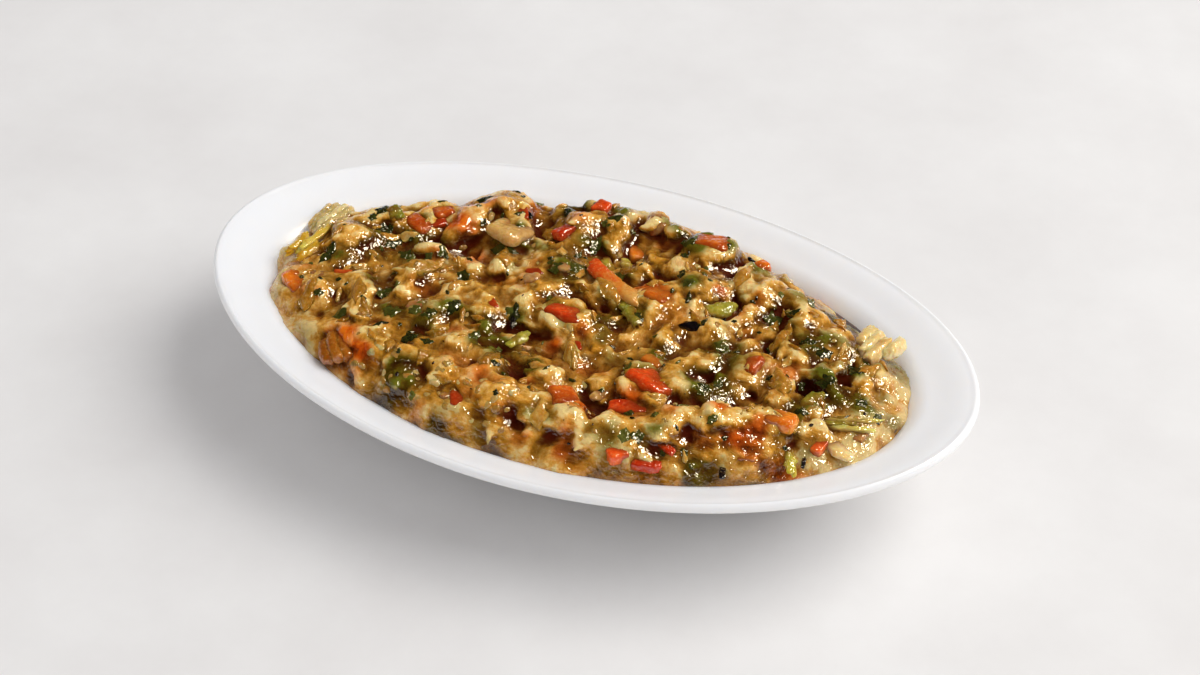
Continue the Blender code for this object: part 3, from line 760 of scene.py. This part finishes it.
# The skin is thinned to fewer triangles, most of all where it is nearly flat.
TRIANGLES = 190000
rough_mash = link("rough_mash", melted)
thin = rough_mash.modifiers.new("thin", "DECIMATE")
thin.ratio = TRIANGLES / sum(len(face.vertices) - 2 for face in melted.polygons)
mash_mesh = bpy.data.meshes.new_from_object(rough_mash.evaluated_get(bpy.context.evaluated_depsgraph_get()))
bpy.data.objects.remove(rough_mash)
mash_mesh.shade_smooth()
mash = link("aubergine_mash", mash_mesh)


# How many features of each pattern there are to a metre: they lie about 2.1, 1.3 and 2.1 mm apart.
MOTTLE, PULP, RIPPLE = 480.0, 780.0, 470.0


def flesh(name, ramp, pale, sunken, strength=0.8, glow=0.2, fine=1.0, stains=("ffffff", "ffffff"),
          film_layer=None):
    """Wet soft flesh: colour by the tone layer with a mottle, paler along its fibres, tinted in clouds,
    darker and redder where it lies deep (partly juice, partly painted shade in the hollows), some light
    let through, and a clear smooth film of oil over it all that catches the light in small bright curls."""
    material, shader = surface(name, Roughness=0.5, IOR=1.35, Specular_IOR_Level=0.08, Coat_Weight=1.0,
                               Coat_Roughness=0.03, Coat_IOR=1.75, Subsurface_Weight=glow,
                               Subsurface_Radius=(0.0030, 0.0012, 0.0004), Subsurface_Scale=1.0)
    place = node(material, "TexCoord")
    at_place = {"Vector": place.outputs["Object"]}
    tone, deep, stain, grain = (node(material, "Attribute", attribute_name=layer)
                                for layer in ("tone", "deep", "stain", "grain"))
    mottle = node(material, "TexNoise", at_place | {"Scale": MOTTLE, "Detail": 5.0, "Roughness": 0.65})
    mottled = node(material, "MapRange", {0: mottle.outputs[0], 1: 0.25, 2: 0.75, 3: -0.24, 4: 0.24})
    shade = node(material, "Math", {0: tone.outputs["Fac"], 1: mottled.outputs[0]}, operation="ADD")
    base = node(material, "ValToRGB", {0: shade.outputs[0]}, ramp)
    strands = node(material, "TexNoise",
                   {"Vector": grain.outputs["Vector"], "Scale": 1.3 * fine, "Detail": 3.0, "Roughness": 0.65})
    strand = node(material, "MapRange", {0: strands.outputs[0], 1: 0.52, 2: 0.74, 3: 0.0, 4: 0.36})
    light = node(material, "Mix", {0: strand.outputs[0], 6: base.outputs[0], 7: linear(pale)},
                 data_type="RGBA")
    tint = node(material, "ValToRGB", {0: stain.outputs["Fac"]},
                [(0.0, stains[0]), (0.38, "ffffff"), (0.6, "ffffff"), (1.0, stains[1])])
    tinted = node(material, "Mix", {0: 1.0, 6: light.outputs[2], 7: tint.outputs[0]}, data_type="RGBA",
                  blend_type="MULTIPLY")
    # Painted shade in part: where the flesh lies deep it turns to the sunken colour, as juice does and as
    # shade in the hollows does.
    sunk = node(material, "MapRange", {0: deep.outputs["Fac"], 1: -0.7, 2: 2.1, 3: 0.0, 4: 0.97})
    juice_and_shade = node(material, "Mix", {0: sunk.outputs[0], 6: tinted.outputs[2], 7: linear(sunken)},
               data_type="RGBA")
    pulp = node(material, "TexNoise", at_place | {"Scale": PULP, "Detail": 3.0, "Roughness": 0.6})
    rise = {"Strength": 0.6 * strength}
    pulpy = node(material, "Bump", rise | {"Height": pulp.outputs[0], "Distance": 0.0011})
    relief = node(material, "Bump",
                  rise | {"Height": strands.outputs[0], "Normal": pulpy.outputs[0], "Distance": 0.0010})
    ripple = node(material, "TexNoise",
                  at_place | {"Scale": RIPPLE, "Detail": 1.5, "Roughness": 0.4, "Distortion": 1.2})
    calm = node(material, "MapRange", {0: deep.outputs["Fac"], 1: 0.0, 2: 2.4, 3: 0.75, 4: 0.2})
    film = node(material, "Bump",
                {"Height": ripple.outputs[0], "Strength": calm.outputs[0], "Distance": 0.0011})
    if film_layer:
        smoother = node(material, "Attribute", attribute_name=film_layer)
        material.node_tree.links.new(smoother.outputs["Vector"], film.inputs["Normal"])
    material.node_tree.links.new(juice_and_shade.outputs[2], shader.inputs["Base Color"])
    material.node_tree.links.new(relief.outputs[0], shader.inputs["Normal"])
    material.node_tree.links.new(film.outputs[0], shader.inputs["Coat Normal"])
    return material


# Roasted aubergine: tan to olive where it stayed pale, golden where it browned, all of it glassy
# with oil.
AUBERGINE_TONES = [(0.0, "421e02"), (0.3, "7e520a"), (0.5, "b07616"), (0.68, "d4922e"), (0.85, "ecb052"),
                   (1.0, "f8d68c")]
mash.data.materials.append(flesh("roasted_aubergine_torn", AUBERGINE_TONES, "f8db84", "521400",
                                 stains=("6f8034", "ee8a2a"), film_layer="oiled"))
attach(mash, "root")
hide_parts("baba_ganoush")

# Under the skin a plain core of mash fills the dish.
core_profile = inner_profile()
core_profile = core_profile[core_profile[:, 2] < BASE - 0.5]
core_profile[:, :2] -= 0.5
core_profile[:, 2] += 0.4
core = put_mesh("mash_core", loft(core_profile, SIDES // 2), *closed_faces(len(core_profile), SIDES // 2))
core.data.materials.append(mash.data.materials[0])
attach(core, "root")


# ---- Diced sweet pepper. Red and orange pepper cut into dice about a centimetre wide, softened in the
# oil: a smooth bright skin side, paler cut sides, corners gone round.
surface_top = spread(ground, 0.45)
slope_x, slope_y = np.gradient(spread(ground, 0.9), CELL)


def resting(x, y):
    """The mash's height and its unit normal at points, from the grid of heights and its slopes."""
    normal = np.column_stack([-sample(slope_x, x, y), -sample(slope_y, x, y), np.ones(len(x))])
    return sample(surface_top, x, y), normal / np.linalg.norm(normal, axis=1)[:, None]


MASH_LOW = 30.0  # the mash lies under a place only where its top is above this height


def covered(x, y, keep=2.0):
    """True where the mash lies under a point and the dish's wall is at least that far away."""
    return (inside(x, y) > keep) & (sample(surface_top, x, y) > MASH_LOW)


PIECE_SEED = 50


def finish_piece(piece, material, nodes=(), grain=None):
    """Gives a piece its material, a fibre layer and its body, and hides the CAD nodes it stands for."""
    if grain is not None:
        add_layer(piece.data, "grain", grain)
    piece.data.materials.append(material)
    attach(piece, "root")
    if nodes:
        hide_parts(*nodes)


def chunks(name, rows, ramp, pale, nodes=(), shape=(4.0, 3.4), rough=0.12, grid=(16, 20), glow=0.4,
           sunken="7a2c08"):
    """Pieces cut by hand: rolls with blunt ends and square sides. Each row: middle x, y and z, length,
    width, thickness, turn, tilt, bend and tone; the tone grows paler towards the underside."""
    rows = np.array(rows, float)
    x, y, z, length, width, thick, turn, tilt, bend, own_tone = rows.T
    order = np.column_stack([x, y, z + thick / 2, length, width, turn, bend])
    points, quads, fans = rolls(order, thick, rough, *grid, PIECE_SEED, *shape, tilt)
    each = np.repeat(np.arange(len(rows)), len(points) // len(rows))
    below = (z[each] - points[:, 2]) / thick[each]
    near = points[:, 2] - sample(surface_top, points[:, 0], points[:, 1])
    tone = own_tone[each] + 0.2 * below + 0.10 * noise(points, 2.0, PIECE_SEED)
    # Low on each piece, where it meets the mash, the colour turns darker and redder: partly juice, partly
    # painted shade.
    piece = put_mesh(name, points, quads, fans, tone=tone, deep=1.5 - 1.3 * near, stain=0.0 * below + 0.5)
    finish_piece(piece, flesh(name + "_flesh", ramp, pale, sunken, 0.4, glow, 0.8), nodes, points)


def at(cad_node, *rest):
    """A row for the piece that stands for a CAD node, with its middle at the middle of the node's box."""
    low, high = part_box(cad_node)
    return (*((np.array(low) + high) * 500 - (0, 0, 0.2)), *rest)


LOWEST_PIECE = 31.5


def on(x, y, sink, *rest):
    """A row for a loose piece whose middle lies that far under the mash's top at x and y."""
    return (x, y, max(sample(surface_top, np.array([x]), np.array([y]))[0] - sink, LOWEST_PIECE), *rest)


PEPPER_RED = [(0.0, "b82c06"), (0.3, "e84c10"), (0.6, "f46c24"), (1.0, "f8a858")]
red_rows = [
    at("pepper_red_middle", 11.5, 8.5, 5.5, -10, 20, 0, 0.25),
    at("pepper_red_right", 12.5, 9, 5.5, -25, 22, 0, 0.35),
    at("pepper_red_front", 10.5, 6.5, 4, -65, 10, 10, 0.25), on(-66, -9, 0.9, 5, 3.4, 2.5, 20, 0, 0, 0.5),
    on(-12.5, 41, 0.2, 5, 4.5, 3, 80, 0, 0, 0.3), on(-17, 27, 0.5, 7, 4.5, 3, 60, 20, 0, 0.1),
    on(25, -29, 1.0, 11, 5, 3.4, 20, 0, 0, 0.2), on(28, -44, 1.3, 5.5, 4, 3.4, 40, 0, 0, 0.45),
    on(35, -43, 1.2, 7.5, 3, 2.6, 12, 0, 10, 0.0), on(4, -13, 0.2, 3.4, 1.6, 1.2, -60, 0, 20, 0.0),
    on(-23, -7, 0.5, 5, 2.2, 1.4, -40, 0, 0, 0.3), on(72, -21, 0.5, 5, 3, 2.4, 80, 0, 0, 0.6),
    on(-31, 30, 0.9, 7, 3, 2, -60, 0, 0, 0.3), on(-18, 9, 0.8, 5, 3, 2, 30, 0, 0, 0.0),
    on(38, -38, 1.0, 6, 2, 1.4, -20, 0, 0, 0.0), on(-52, 20, 0.6, 5, 3, 2, 40, 0, 0, 0.1),
]
chunks("diced_red_pepper", red_rows, PEPPER_RED, "ff9050", RED_NODES, (5.5, 5.0), 0.08)

PEPPER_ORANGE = [(0.0, "c04a06"), (0.3, "e87412"), (0.6, "f2942c"), (1.0, "f2bc60")]
orange_rows = [
    at("pepper_orange_back", 10, 8, 5.5, 5, 15, 0, 0.22),
    at("pepper_orange_middle", 9, 7.5, 6, -20, 10, 0, 0.4),
    at("pepper_orange_left", 9, 6.5, 5, -40, 5, 10, 0.45),
    at("pepper_orange_side", 9, 6.5, 4.6, -20, 10, 0, 0.15),
    at("pepper_orange_far", 7, 6.0, 4.6, 40, 10, 0, 0.12),
    at("pepper_orange_right", 8, 5.5, 5, 80, 20, 0, 0.1), on(36, 35, 0.5, 5, 4, 3, 60, 0, 0, 0.3),
    on(9, -34, 1.2, 8, 7, 5, -50, 15, 0, 0.2), on(62, -21, 1.4, 8, 6, 4, 0, 10, 0, 0.5),
    on(2, 31, 0.8, 6, 4, 3, -60, 10, 0, 0.5), on(24, -12, 0.9, 6, 4, 3, -20, 10, 0, 0.6),
    on(57, -32, 1.2, 5, 3, 2, 20, 0, 0, 0.5),
]
chunks("diced_orange_pepper", orange_rows, PEPPER_ORANGE, "ffc070", ORANGE_NODES, (4.5, 4.0),
       0.10)

# A bent strip, red at one end and pale orange at the other where its skin turned under.
x, y, z = at("pepper_strip")
strip_thick = 3.4
strip_row = np.array([(x, y, z + strip_thick / 2, 21, 4.8, -30, 20)])
points, quads, fans = rolls(strip_row, np.array([strip_thick]), 0.12, 28, 16, 51, 4.0, 3.0)
along = (points[:, 0] - x) / 18 + 0.5
none = 0 * along
strip = put_mesh("pepper_strip_bent", points, quads, fans,
                 tone=0.15 + 0.75 * along, deep=none, stain=none + 0.5)
STRIP = [(0.0, "dc3a0a"), (0.35, "ee5a14"), (0.6, "e89030"), (1.0, "f0bc62")]
finish_piece(strip, flesh("pepper_strip_flesh", STRIP, "ffca80", "7a2c08", 0.4, 0.4, 0.8),
             ["pepper_strip"], points)


# ---- Onion, courgette, green pepper, tomato and skin. Soft cooked pieces, glassy with oil: onion in
# curved layers, courgette and green pepper in strips, one ribbed piece of tomato and charred skin.
def frayed(row, strands):
    """A strip torn along its fibres: narrow strands side by side, each a little shorter and turned."""
    x, y, z, length, width, thick, turn, tilt, bend, tone = row
    side = np.linspace(-0.5, 0.5, strands)
    c, s = heading(turn)
    shift = 0.16 * length * np.sin(7.0 * side + x)
    return [(x - a * width * s + b * c, y + a * width * c + b * s, z - 0.8 * a * a,
             length * (0.9 - 0.5 * abs(a)), 1.6 * width / strands, thick * 0.8,
             turn + 9 * a, tilt, bend + 20 * a, tone + 0.3 * np.sin(9 * a + x))
            for a, b in zip(side, shift)]


def raised(row, rise):
    """The same row, that much higher."""
    return (*row[:2], row[2] + rise, *row[3:])


ONION = [(0.0, "a87838"), (0.4, "d4a45a"), (0.75, "ecc880"), (1.0, "f8e6b4")]
onion_rows = [
    *frayed(at("onion_wedge", 12.5, 8.0, 5.0, 75, 30, 10, 0.75), 4), on(-7, 1, 0.9, 4, 3, 2, 20, 0, 0, 0.6),
    on(76, -19, 0.4, 9, 5, 2.2, -35, 15, 20, 0.85), on(80, -13, 0.6, 5, 3, 2, 70, 0, 0, 0.5),
    on(4, 41, 2.2, 9, 6, 4, 100, 10, 0, 0.5), on(-41, -15, 1.1, 5, 4, 2.5, 30, 0, 0, 0.4),
    on(-17, 5, 0.8, 4.5, 3.4, 2.5, 30, 0, 0, 0.6), on(-12, 13, 0.8, 5, 3, 2, 0, 0, 0, 0.6),
    on(16, -26, 0.9, 5.5, 3.4, 2, 70, 0, 0, 0.4), on(-72, -11, 1.0, 6, 3, 2, 10, 0, 0, 0.5),
    on(-19, -42, 0.9, 4, 3, 2, 80, 0, 0, 0.3), on(53, -22, 1.1, 5, 3, 2, 20, 0, 0, 0.4),
]
chunks("cooked_onion", onion_rows, ONION, "f8e8bc", ["onion_wedge"], (3.0, 2.6), 0.18, glow=0.6)
slice_row = raised(at("onion_slice", 11.0, 10.5, 4.4, -15, 16, 10, 0.5), 0.5)
chunks("onion_slice_flat", [slice_row], ONION, "f4dca8", ["onion_slice"], (3.6, 3.2), 0.16, glow=0.6)


def ribbed(name, cad_node, shift, count, gap, length, wide, thick, turn, ramp, pale, tones):
    """Layers side by side across a piece, each a narrow roll, shorter and lower to the sides. The
    middle lies at the CAD piece's middle and a shift in millimetres."""
    low, high = cad_corners(cad_node)
    x, y, z = (low + high) / 2 + shift
    side = np.linspace(-1, 1, count)
    reach = gap * side * (count - 1) / 2
    c, s = heading(turn + 90)
    same = np.ones(count)
    rows = np.column_stack([x + reach * c, y + reach * s, z - side**2,
                            length * (1 - 0.2 * side**2), wide * same, thick * same,
                            turn + 5 * side, 15 * side, 20 * same, tones])
    chunks(name, rows, ramp, pale, [cad_node], (3.0, 2.3), 0.12, (20, 14))


ribbed("onion_layers", "onion_ribbed", (-2.2, -1.0, -2.9), 6, 1.7, 14, 3.4, 6.0, 75,
       [(0.0, "96803e"), (0.5, "d2b06c"), (1.0, "f2dea4")], "f4e4b8",
       [0.35, 0.65, 0.45, 0.75, 0.4, 0.55])
ribbed("tomato_ribs", "tomato_piece", (-0.8, 0.0, -1.2), 4, 2.2, 11, 3.8, 4.0, -50,
       [(0.0, "7a3806"), (0.5, "a86010"), (1.0, "d0903c")], "e0a858", [0.3, 0.5, 0.4, 0.6])

GREENS = [(0.0, "5a5c08"), (0.4, "98902a"), (0.75, "c4b03c"), (1.0, "e2d070")]
green_rows = [
    at("courgette_green", 11, 5, 3.4, 25, 10, 10, 0.55),
    *frayed(at("pepper_green_strip", 16, 3.4, 2.4, 20, 0, 15, 0.7), 4),
    on(-3, 23, 0.1, 10, 3.2, 2.4, -52, 0, 10, 0.8), on(12, 3, 0.1, 12, 3.4, 2.2, -42, 0, -10, 0.35),
    on(-11, -16, -0.2, 7, 3, 1.6, 65, 0, 0, 0.5), on(67, -28, 0.8, 9, 3, 2, -70, 0, 0, 0.7),
    on(2, 24, 0.2, 5, 2.4, 2, -50, 0, 0, 0.8), on(-63, 17, 0.7, 6, 4, 2.5, -20, 0, 0, 0.3),
    on(66, -9, 0.5, 6, 4, 3, 75, 0, 10, 0.4),
]
chunks("green_strips", green_rows, GREENS, "e8e090", ["courgette_green", "pepper_green_strip"],
       (2.4, 2.4), 0.34)
yellow_row = raised(at("courgette_yellow", 15, 4.6, 3.0, 78, 0, 15, 0.5), 1.3)
chunks("yellow_courgette_strip", frayed(yellow_row, 3), [(0.0, "a8780a"), (0.5, "d2a024"), (1.0, "e8d062")],
       "f2e080", ["courgette_yellow"], (2.4, 2.4), 0.30)
skin_rows = [
    at("aubergine_skin", 12, 3.2, 3.0, 35, 0, 70, 0.2), on(-16, -9, 0.0, 7, 1.6, 1.2, -75, 0, 20, 0.2),
    on(34, -26, 0.1, 3.4, 2.4, 1.2, 20, 0, 0, 0.1), on(53, -38, 0.1, 4, 1.8, 1.0, -70, 0, 0, 0.1),
    on(70, -27, -0.1, 4, 1.2, 0.8, -80, 0, 0, 0.1), on(32, 39, 0.2, 4, 2, 1.4, -30, 0, 0, 0.2),
    on(-29, 29, 0.2, 3, 2, 1.2, -40, 0, 0, 0.2), on(67, -6, 0.0, 5, 2, 1.4, 20, 0, 30, 0.2),
]
chunks("charred_skin", skin_rows, [(0.0, "0c0607"), (0.6, "241416"), (1.0, "4a2e28")], "3c3038",
       ["aubergine_skin"], (3.0, 2.4), 0.16, glow=0.0, sunken="0c0607")


# ---- Shreds of aubergine, thin and half clear, torn to points. They lie over the mash and follow its
# shape, held down by the oil, their edges a little lower than their middles.
def leaves(rows, lift, thick, lobes, seed, along=9, across=7):
    """Thin flat pieces that follow the mash: over u from end to end and v from side to side the width
    narrows as (1 - u ** 2) ** 0.6, waved by cos(lobes u), both ends drawn to points; the sheet stands
    lift above the mash, more towards its edges. Each row: x, y, length, width, turn and tone."""
    rows = np.array(rows, float)
    x, y, length, width, turn = (rows[:, i, None, None] for i in range(5))
    own = np.arange(len(rows))[:, None, None]
    u = np.linspace(-1, 1, along)[None, :, None]
    v = np.linspace(-1, 1, across)[None, None, :]
    narrow = np.clip(1 - u**2, 0.004, 1) ** 0.6 * (1 + 0.3 * np.cos(lobes * u + 1.7 * own))
    bend = 0.25 * np.sin(own * 2.3)
    a = length / 2 * u * (1 - 0.15 * v**2)
    b = width / 2 * (narrow * v + bend * (u**2 - 0.5))
    c, s = heading(turn)
    flat_x, flat_y = x + a * c - b * s, y + a * s + b * c
    high = sample(surface_top, flat_x, flat_y) + lift * (0.5 + 0.8 * v**2 + 0.5 * u**2)
    middle = sample(surface_top, x + 0 * flat_x, y + 0 * flat_x)
    high = middle + np.clip(high - middle, -0.22 * length, 0.22 * length)
    high = high + 0.3 * lift * noise(np.stack([flat_x, flat_y, 0 * flat_x + own], -1), 1.8, seed)
    top = np.stack([flat_x, flat_y, high + thick * (1 - 0.8 * v**2) * (1 - 0.5 * u**2)], -1)
    under = np.stack([flat_x, flat_y, high], -1)
    ring = np.concatenate([top.reshape(len(rows), -1, 3), under.reshape(len(rows), -1, 3)], axis=1)
    cell = (np.arange(along - 1)[:, None] * across + np.arange(across - 1)).reshape(-1)
    upper = np.column_stack([cell, cell + across, cell + across + 1, cell + 1])
    size = along * across
    border = np.concatenate([np.arange(across), np.arange(1, along) * across + across - 1,
                             (along - 1) * across + np.arange(across - 2, -1, -1),
                             np.arange(along - 2, 0, -1) * across])
    after = np.roll(border, -1)
    sides = np.column_stack([border, after, after + size, border + size])
    quads = np.concatenate([upper, upper[:, ::-1] + size, sides[:, ::-1]])
    first = (np.arange(len(rows)) * 2 * size)[:, None, None]
    return ring.reshape(-1, 3), (quads + first).reshape(-1, 4), np.repeat(rows[:, 5], 2 * size)


def scattered(count, seed, low, high, keep=3.0):
    """Random places over the food and sizes between low and high, small ones more often than large."""
    dice = np.random.default_rng(seed)
    spots = dice.uniform(-1, 1, (count * 3, 2)) * (CREASE_X, CREASE_Y)
    spots = spots[covered(*spots.T, keep)][:count]
    return spots, low + (high - low) * dice.uniform(0, 1, len(spots)) ** 2, dice


def strewn(spots, sizes, dice, widths, tones):
    """Rows for flat pieces at random places: place, length, width, turn and tone."""
    count = len(sizes)
    return np.column_stack([spots, sizes, sizes * dice.uniform(*widths, count), dice.uniform(0, 180, count),
                            dice.uniform(*tones, count)])


# Each row: x, y, length, width, turn and tone. A shred is left out where the mash under it is steep.
shred_rows = np.array([
    (-47, -2, 13, 6, 30, 0.8), (-45, 1, 10, 4, 60, 0.9), (-34, -3, 10, 3.4, 70, 0.85),
    (79, -18, 8, 5, -20, 0.95), (70, -30, 10, 5, -65, 0.9), (68, -33, 7, 4, -80, 1.0),
    (11, -44, 11, 4, -20, 0.9), (6, -41, 8, 4, -70, 0.95), (-27, 10, 8, 5, -60, 0.8),
    (-70, -20, 11, 4, 100, 0.75), (-64, -31, 10, 4, -35, 0.7), (3, -15, 12, 3.6, -68, 0.9),
    (3, 9, 14, 4, -38, 0.85), (34, 27, 11, 4, 85, 0.85), (51, 9, 12, 4, 85, 0.7), (57, -8, 12, 4, -60, 0.8),
    (45, -24, 11, 5, 20, 0.85), (-57, -17, 12, 4, -68, 0.75), (75, 9, 8, 4, 60, 0.8),
    (-14, -28, 9, 5, 80, 0.6),
]) - (0, 0, 0, 0, 0, 0.2)
x, y = shred_rows[:, :2].T
shred_rows = shred_rows[(resting(x, y)[1][:, 2] > 0.7) & covered(x, y, 4.0)]
spots, sizes, dice = scattered(120, 61, 3.0, 7.0)
level = resting(*spots.T)[1][:, 2] > 0.8
more = strewn(spots[level], sizes[level], dice, (0.25, 0.5), (0.4, 0.85))
shred_rows = np.concatenate([shred_rows, more])
points, quads, tone = leaves(shred_rows, -0.10, 0.9, 4.0, 62, 11, 9)
shreds = put_mesh("aubergine_shreds", points, quads, tone=tone, deep=0 * tone, stain=0 * tone + 0.4)
shred_flesh = flesh("aubergine_shred_glassy", AUBERGINE_TONES, "f4dc98", "5a2c08", 0.5, 0.4)
finish_piece(shreds, shred_flesh, (), points)


# ---- Aubergine seeds, flat drops three millimetres long, pale and half clear, loose in the mash and
# thickest along its front edge. They lie flat on it where they stuck.
def settled(local, x, y, turn, sink):
    """Small bodies laid on the mash: each turns about its upright, then leans with the mash's normal."""
    high, normal = resting(x, y)
    c, s = heading(turn)
    first = np.column_stack([c, s, 0 * c])
    first -= normal * (first * normal).sum(1)[:, None]
    first /= np.linalg.norm(first, axis=1)[:, None]
    frames = np.stack([first, np.cross(normal, first), normal], axis=1)
    return np.column_stack([x, y, high])[:, None] + (local - (0, 0, sink)) @ frames


def small_bodies(name, x, y, turn, sizes, rough, grid, seed, sink, tone, material, slot):
    """Small rounded bodies at those places; sizes hold length, width and thickness."""
    none = 0 * x
    rows = np.column_stack([none, none, sizes[:, 2] / 2, sizes[:, 0], sizes[:, 1], none, none])
    points, quads, fans = rolls(rows, sizes[:, 2], rough, *grid, seed)
    local = points.reshape(len(x), -1, 3)
    points = settled(local, x, y, turn, sink).reshape(-1, 3)
    each = np.repeat(tone, local.shape[1])
    piece = put_mesh(name, points, quads, fans, tone=each, deep=0 * each, stain=0 * each + 0.5)
    finish_piece(piece, material, (), points)


listed = np.array([
    (-13, -49), (-9, -51), (-6, -42), (-18, -43), (-26, -45), (-24, -52), (-38, -46), (-43, -36), (-11, -4),
    (16, -26), (83, -15), (26, -44), (-2, -46), (2, 2), (24, -15), (-16, 3), (-31, -40), (36, -33),
], float)
loose_spots, sizes, dice = scattered(170, 71, 1.6, 3.0)
front = np.random.default_rng(72).normal(0, 1, (60, 2)) * (26, 5) + (-24, -40)
spots = np.concatenate([listed, front])
spots = spots[covered(*spots.T)]
long = np.concatenate([dice.uniform(2.3, 2.9, len(spots)), sizes])
spots = np.concatenate([spots, loose_spots])
count = len(spots)
seed_sizes = np.column_stack([long, long * dice.uniform(0.72, 0.86, count), long * 0.42])
SEED = [(0.0, "905c1c"), (0.4, "b88438"), (0.75, "d4a658"), (1.0, "eccb84")]
small_bodies("aubergine_seeds", *spots.T, dice.uniform(0, 360, count), seed_sizes, 0.08, (6, 8), 73, 0.45,
             dice.uniform(0.2, 0.95, count), flesh("aubergine_seed_pale", SEED, "ecca84", "6b3c10", 0.1, 0.5),
             "mash")


# ---- Herbs. Leaf parsley, chopped and wilted in the mash: dark green scraps a few millimetres long,
# flat and wet, thicker where stems show.
# Each row: x, y, length, width and turn. The tone comes from the row's number.
herb_rows = np.array([
    (-64, 12, 5, 3.4, 40), (-67, 17, 6, 3.4, 80), (-45, 35, 5, 3, 20), (-30, 16, 9, 3, 0),
    (-52, -12, 5, 4, 60), (-58.5, -24, 5, 3.4, 30), (-46, -19, 5.5, 5, 10), (-37, -27, 5, 3.4, 50),
    (-31, -13, 6, 3, 80), (-73, -4, 8, 3, 80), (-6, 36, 5, 3.4, 10), (-8, 27, 7, 2.6, 90),
    (-13, 12, 5, 3, 30), (-8, 15, 6, 4, 60), (-16, -8, 7, 2.6, -70), (10, 5, 7, 2.6, -45),
    (14, 2, 6, 2.6, -40), (16, 34, 5, 4, 30), (26, 35, 4, 3, 60), (46, 17, 5, 4.4, 20), (38, 1, 5, 3.4, 0),
    (63, 8, 5, 4, 40), (72, 7, 6, 4, -30), (77, -4, 4, 3, 60), (82, -6, 4, 2, 80), (31, -39, 4, 3, 20),
    (47, -40, 6, 4.6, 30), (-38, -42, 5, 4, 70), (-32, -27, 4, 3, 10), (-60, 9, 6, 3, 60),
    (-57, 13, 5, 3, 0), (-55, 6, 6, 3, -30), (-29, 22, 6, 2.6, -20), (6, 13, 6, 4, -40), (2, 18, 5, 3, -60),
    (58, 10, 5, 3, 30), (67, -3, 6, 3, 20), (40, -17, 4, 2.6, 0), (-50, 12, 5, 3, 20), (-36, -18, 5, 3, 30),
    (-22, -20, 5, 2.6, 80), (22, 18, 4, 3, 0), (65, -15, 4, 3, 20), (60, -40, 5, 3, 10),
])
herb_rows = np.column_stack([herb_rows, 0.2 + 0.06 * (np.arange(len(herb_rows)) % 7)])
herb_rows = herb_rows[covered(*herb_rows[:, :2].T, 3.0)]
herb_rows = np.concatenate([herb_rows, strewn(*scattered(120, 81, 1.5, 4.8), (0.4, 0.8), (0.1, 0.8))])
points, quads, tone = leaves(herb_rows, -0.10, 0.5, 7.0, 82)
herbs = put_mesh("parsley_chopped", points, quads, tone=tone, deep=0 * tone, stain=0 * tone + 0.5)
HERB = [(0.0, "181a06"), (0.3, "30320a"), (0.6, "545416"), (1.0, "86843a")]
finish_piece(herbs, flesh("parsley_wilted", HERB, "6c6828", "181806", 0.6, 0.25), (), points)

# ---- Char. Specks of burnt skin, up to a millimetre and a half, stuck all over the flesh.
spots, sizes, dice = scattered(80, 91, 0.35, 1.4)
count = len(spots)
speck_sizes = np.column_stack([sizes, sizes * dice.uniform(0.4, 0.9, count), sizes * 0.4])
char = flesh("char_speck", [(0.0, "0c0606"), (1.0, "30180e")], "281410", "0c0606", 0.3, 0.0)
small_bodies("char_specks", *spots.T, dice.uniform(0, 360, count), speck_sizes, 0.25, (4, 6), 92, 0.0,
             dice.uniform(0, 1, count), char, "aubergine_skin")

# ---- Juice. Thin brown juice and oil that stands in the low places between the lumps and shows as a
# glossy line where the food meets the dish.
RINGS = 90
JUICE_TOP, JUICE_LOW = 31.4, BASE - 0.2
share = np.linspace(0.02, 0.95, RINGS)
turns = 2 * np.pi * np.arange(SIDES) / SIDES
pool = ovals(CREASE_X * share, CREASE_Y * share, 0 * share, turns).reshape(-1, 3)
pool[:, 2] = np.minimum(sample(spread(ground, 5.0), pool[:, 0], pool[:, 1]) - 4.0, JUICE_TOP)
under_edge = pool[-SIDES:] * (0.97, 0.97, 0) + (0, 0, JUICE_LOW)
centre = pool[:SIDES].mean(axis=0)
pool = np.concatenate([[centre], pool, under_edge, [(0, 0, JUICE_LOW)]])
pool_quads, pool_fans = closed_faces(RINGS + 1, SIDES)
juice = put_mesh("pan_juice", pool, pool_quads[:, ::-1], pool_fans[:, ::-1])
liquid, shader = surface("pan_juice_oily", Roughness=0.06, IOR=1.45, Coat_Weight=1.0, Coat_Roughness=0.03,
                         Base_Color=linear("3c1202"))
finish_piece(juice, liquid)

size = {"cad": cad_box, "visual": [list(corner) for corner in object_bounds()]}
